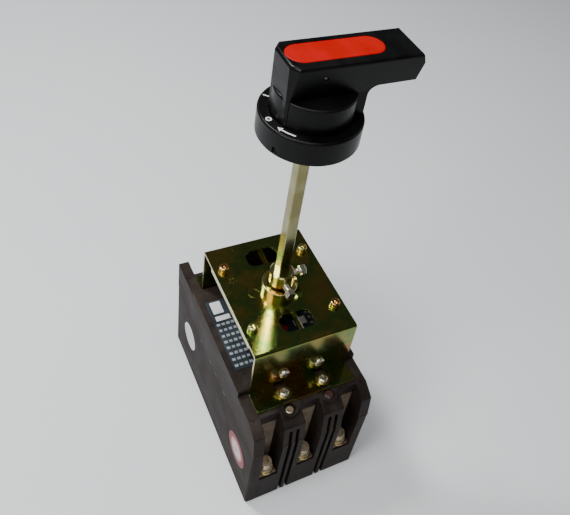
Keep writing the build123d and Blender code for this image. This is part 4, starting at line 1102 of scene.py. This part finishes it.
@dataclass
class DoorHandle:
    """Black knob with its red insert, and the dial ring with its marks."""

    shop: Workshop
    rounding: float = 0.8 * MM
    ink: float = 0.04 * MM
    mark_radius: float = 31.3 * MM
    mark_height: float = 4.2 * MM
    stroke: float = 1.1 * MM
    nought_points: int = 36
    on_angle: float = 137.0
    off_angle: float = 184.0
    reset_span: tuple[float, float] = (201.0, 226.0)
    head_angle: float = 6.5
    head_overlap: float = 0.5
    head_share: float = 0.95

    def build(self) -> None:
        """Dress the handle and print its dial."""
        shop = self.shop
        piece = softened(shop.nodes["knob"], "knob_rounded", self.rounding)
        settle(piece, Body.HANDLE, Slot.BLACK, shop.finish(NYLON_BLACK), "knob")
        shop.dress(NYLON_BLACK, "dial_ring")
        shop.dress(LACQUER_RED, "grip_insert")
        shop.dress(ZINC_BRIGHT, "knob_grub_screw", "knob_retainer")
        shop.dress(FOAM, "dial_gasket")
        self.dial_marks()

    def dial_marks(self) -> None:
        """Print a bar at the on place, a nought at the off place and an arrow past it."""
        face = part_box("dial_ring")[1].z
        top = face + self.ink
        bm = bmesh.new()
        axis = (0.0, 0.0)
        half = self.mark_height / 2
        centre = polar(axis, self.mark_radius, self.off_angle)
        nought = [circle_points(centre, radius, self.nought_points)
                  for radius in (half - self.stroke, half)]
        ribbon(bm, *nought, face, top, closed=True)
        swing = math.degrees(self.stroke / 2 / self.mark_radius)
        bar = [arc_points(axis, self.mark_radius + offset, self.on_angle - swing,
                          self.on_angle + swing, 3) for offset in (-half, half)]
        ribbon(bm, *bar, face, top)
        start, end = self.reset_span
        base = start + self.head_angle
        tail = [arc_points(axis, self.mark_radius + offset, base - self.head_overlap, end, 16)
                for offset in (-self.stroke / 2, self.stroke / 2)]
        ribbon(bm, *tail, face, top)
        tip = polar(axis, self.mark_radius, start)
        head = [[polar(axis, self.mark_radius + offset, base), tip]
                for offset in (-half * self.head_share, half * self.head_share)]
        ribbon(bm, *head, face, top)
        bmesh.ops.remove_doubles(bm, verts=bm.verts, dist=0.001 * MM)
        piece = from_bmesh("dial_marks", bm)
        settle(piece, Body.DIAL, Slot.BLACK, self.shop.finish(PRINT_WHITE))


def outward(azimuth: float, elevation: float) -> Vector:
    """Give the direction from the object to a place round and above it, in degrees."""
    a, e = math.radians(azimuth), math.radians(elevation)
    return Vector((math.sin(a) * math.cos(e), -math.cos(a) * math.cos(e), math.sin(e)))


@dataclass(frozen=True)
class SoftBox:
    """A square light that hangs round the object and faces it."""

    name: str
    azimuth: float
    elevation: float
    away: float
    size: float
    power: float

    def hang(self, middle: Vector) -> None:
        """Put the light in the scene, facing the object's middle."""
        data = bpy.data.lights.new(self.name, "AREA")
        data.shape = "SQUARE"
        data.size = self.size
        data.energy = self.power
        light = add_object(self.name, data)
        back = outward(self.azimuth, self.elevation)
        light.location = middle + back * self.away
        light.rotation_euler = (-back).to_track_quat("-Z", "Y").to_euler()


@dataclass
class Studio:
    """Pale floor, soft lights and the camera."""

    azimuth: float = -35.314
    elevation: float = 44.213
    roll: float = 12.693
    target: Triple = (41.25 * MM, 23.45 * MM, 217.05 * MM)
    distance: float = 560.0 * MM
    lens: float = 42.44
    shift: Point = (-0.059, -0.0658)
    floor_size: float = 6.0
    floor_drop: float = 0.2 * MM
    floor_tints: tuple[Triple, Triple] = ((0.7, 0.72, 0.74), (0.76, 0.77, 0.78))
    air: tuple[float, float, float, float] = (0.86, 0.9, 0.96, 1.0)
    air_strength: float = 0.1
    middle: Triple = (0.0, 0.0, 190.0 * MM)
    boxes: tuple[SoftBox, ...] = (
        SoftBox("key_box", -78.0, 44.0, away=1.3, size=0.55, power=11.0),
        SoftBox("front_box", -20.0, 35.0, away=1.5, size=0.8, power=3.0),
        SoftBox("shaft_box", -147.9, 54.9, away=1.5, size=0.26, power=19.0),
        SoftBox("fill_box", 84.0, 30.0, away=1.7, size=0.9, power=2.5),
        SoftBox("top_box", -60.0, 80.0, away=1.4, size=0.8, power=11.0))

    def build(self) -> None:
        """Make the floor, the lights and the camera."""
        self.floor()
        self.world()
        for box in self.boxes:
            box.hang(Vector(self.middle))
        self.camera()

    def floor(self) -> None:
        """Lay the floor just under the case."""
        bm = bmesh.new()
        bmesh.ops.create_grid(bm, x_segments=2, y_segments=2, size=self.floor_size / 2)
        bmesh.ops.translate(bm, verts=bm.verts, vec=(0.0, 0.0, -self.floor_drop))
        piece = from_bmesh("studio_floor", bm)
        g = Surface("studio_paper")
        shade = g.noise(g.where, scale=3.0, detail=2.0)
        g.feed(g.shader["Base Color"], g.mix(shade, *self.floor_tints))
        g.shader["Roughness"].default_value = 0.9
        dress(piece, g.material)

    def world(self) -> None:
        """Fill the surroundings with dim even light."""
        world = bpy.data.worlds.new("studio_air")
        world.use_nodes = True
        background = world.node_tree.nodes["Background"]
        background.inputs[0].default_value = self.air
        background.inputs[1].default_value = self.air_strength
        bpy.context.scene.world = world

    def camera(self) -> None:
        """Aim the camera at the object."""
        a, r = math.radians(self.azimuth), math.radians(self.roll)
        forward = -outward(self.azimuth, self.elevation)
        level = Vector((math.cos(a), math.sin(a), 0.0))
        rise = level.cross(forward)
        right = level * math.cos(r) + rise * math.sin(r)
        up = rise * math.cos(r) - level * math.sin(r)
        data = bpy.data.cameras.new("studio_camera")
        data.lens = self.lens
        data.shift_x, data.shift_y = self.shift
        camera = add_object("studio_camera", data)
        turned = Matrix((right, up, -forward)).transposed().to_4x4()
        place = Vector(self.target) - forward * self.distance
        camera.matrix_world = Matrix.Translation(place) @ turned
        bpy.context.scene.camera = camera


def main() -> None:
    """Build every sub-assembly in order, then the studio."""
    logging.basicConfig(level=logging.INFO, format="%(name)s: %(message)s")
    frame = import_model()
    shop = Workshop(frame["nodes"])
    for kind in (Case, Terminals, Labels, InnerWorks, Mechanism, Shaft, DoorHandle):
        kind(shop).build()
    Studio().build()
    log.info("all pieces are in place")


if __name__ == "__main__":
    main()
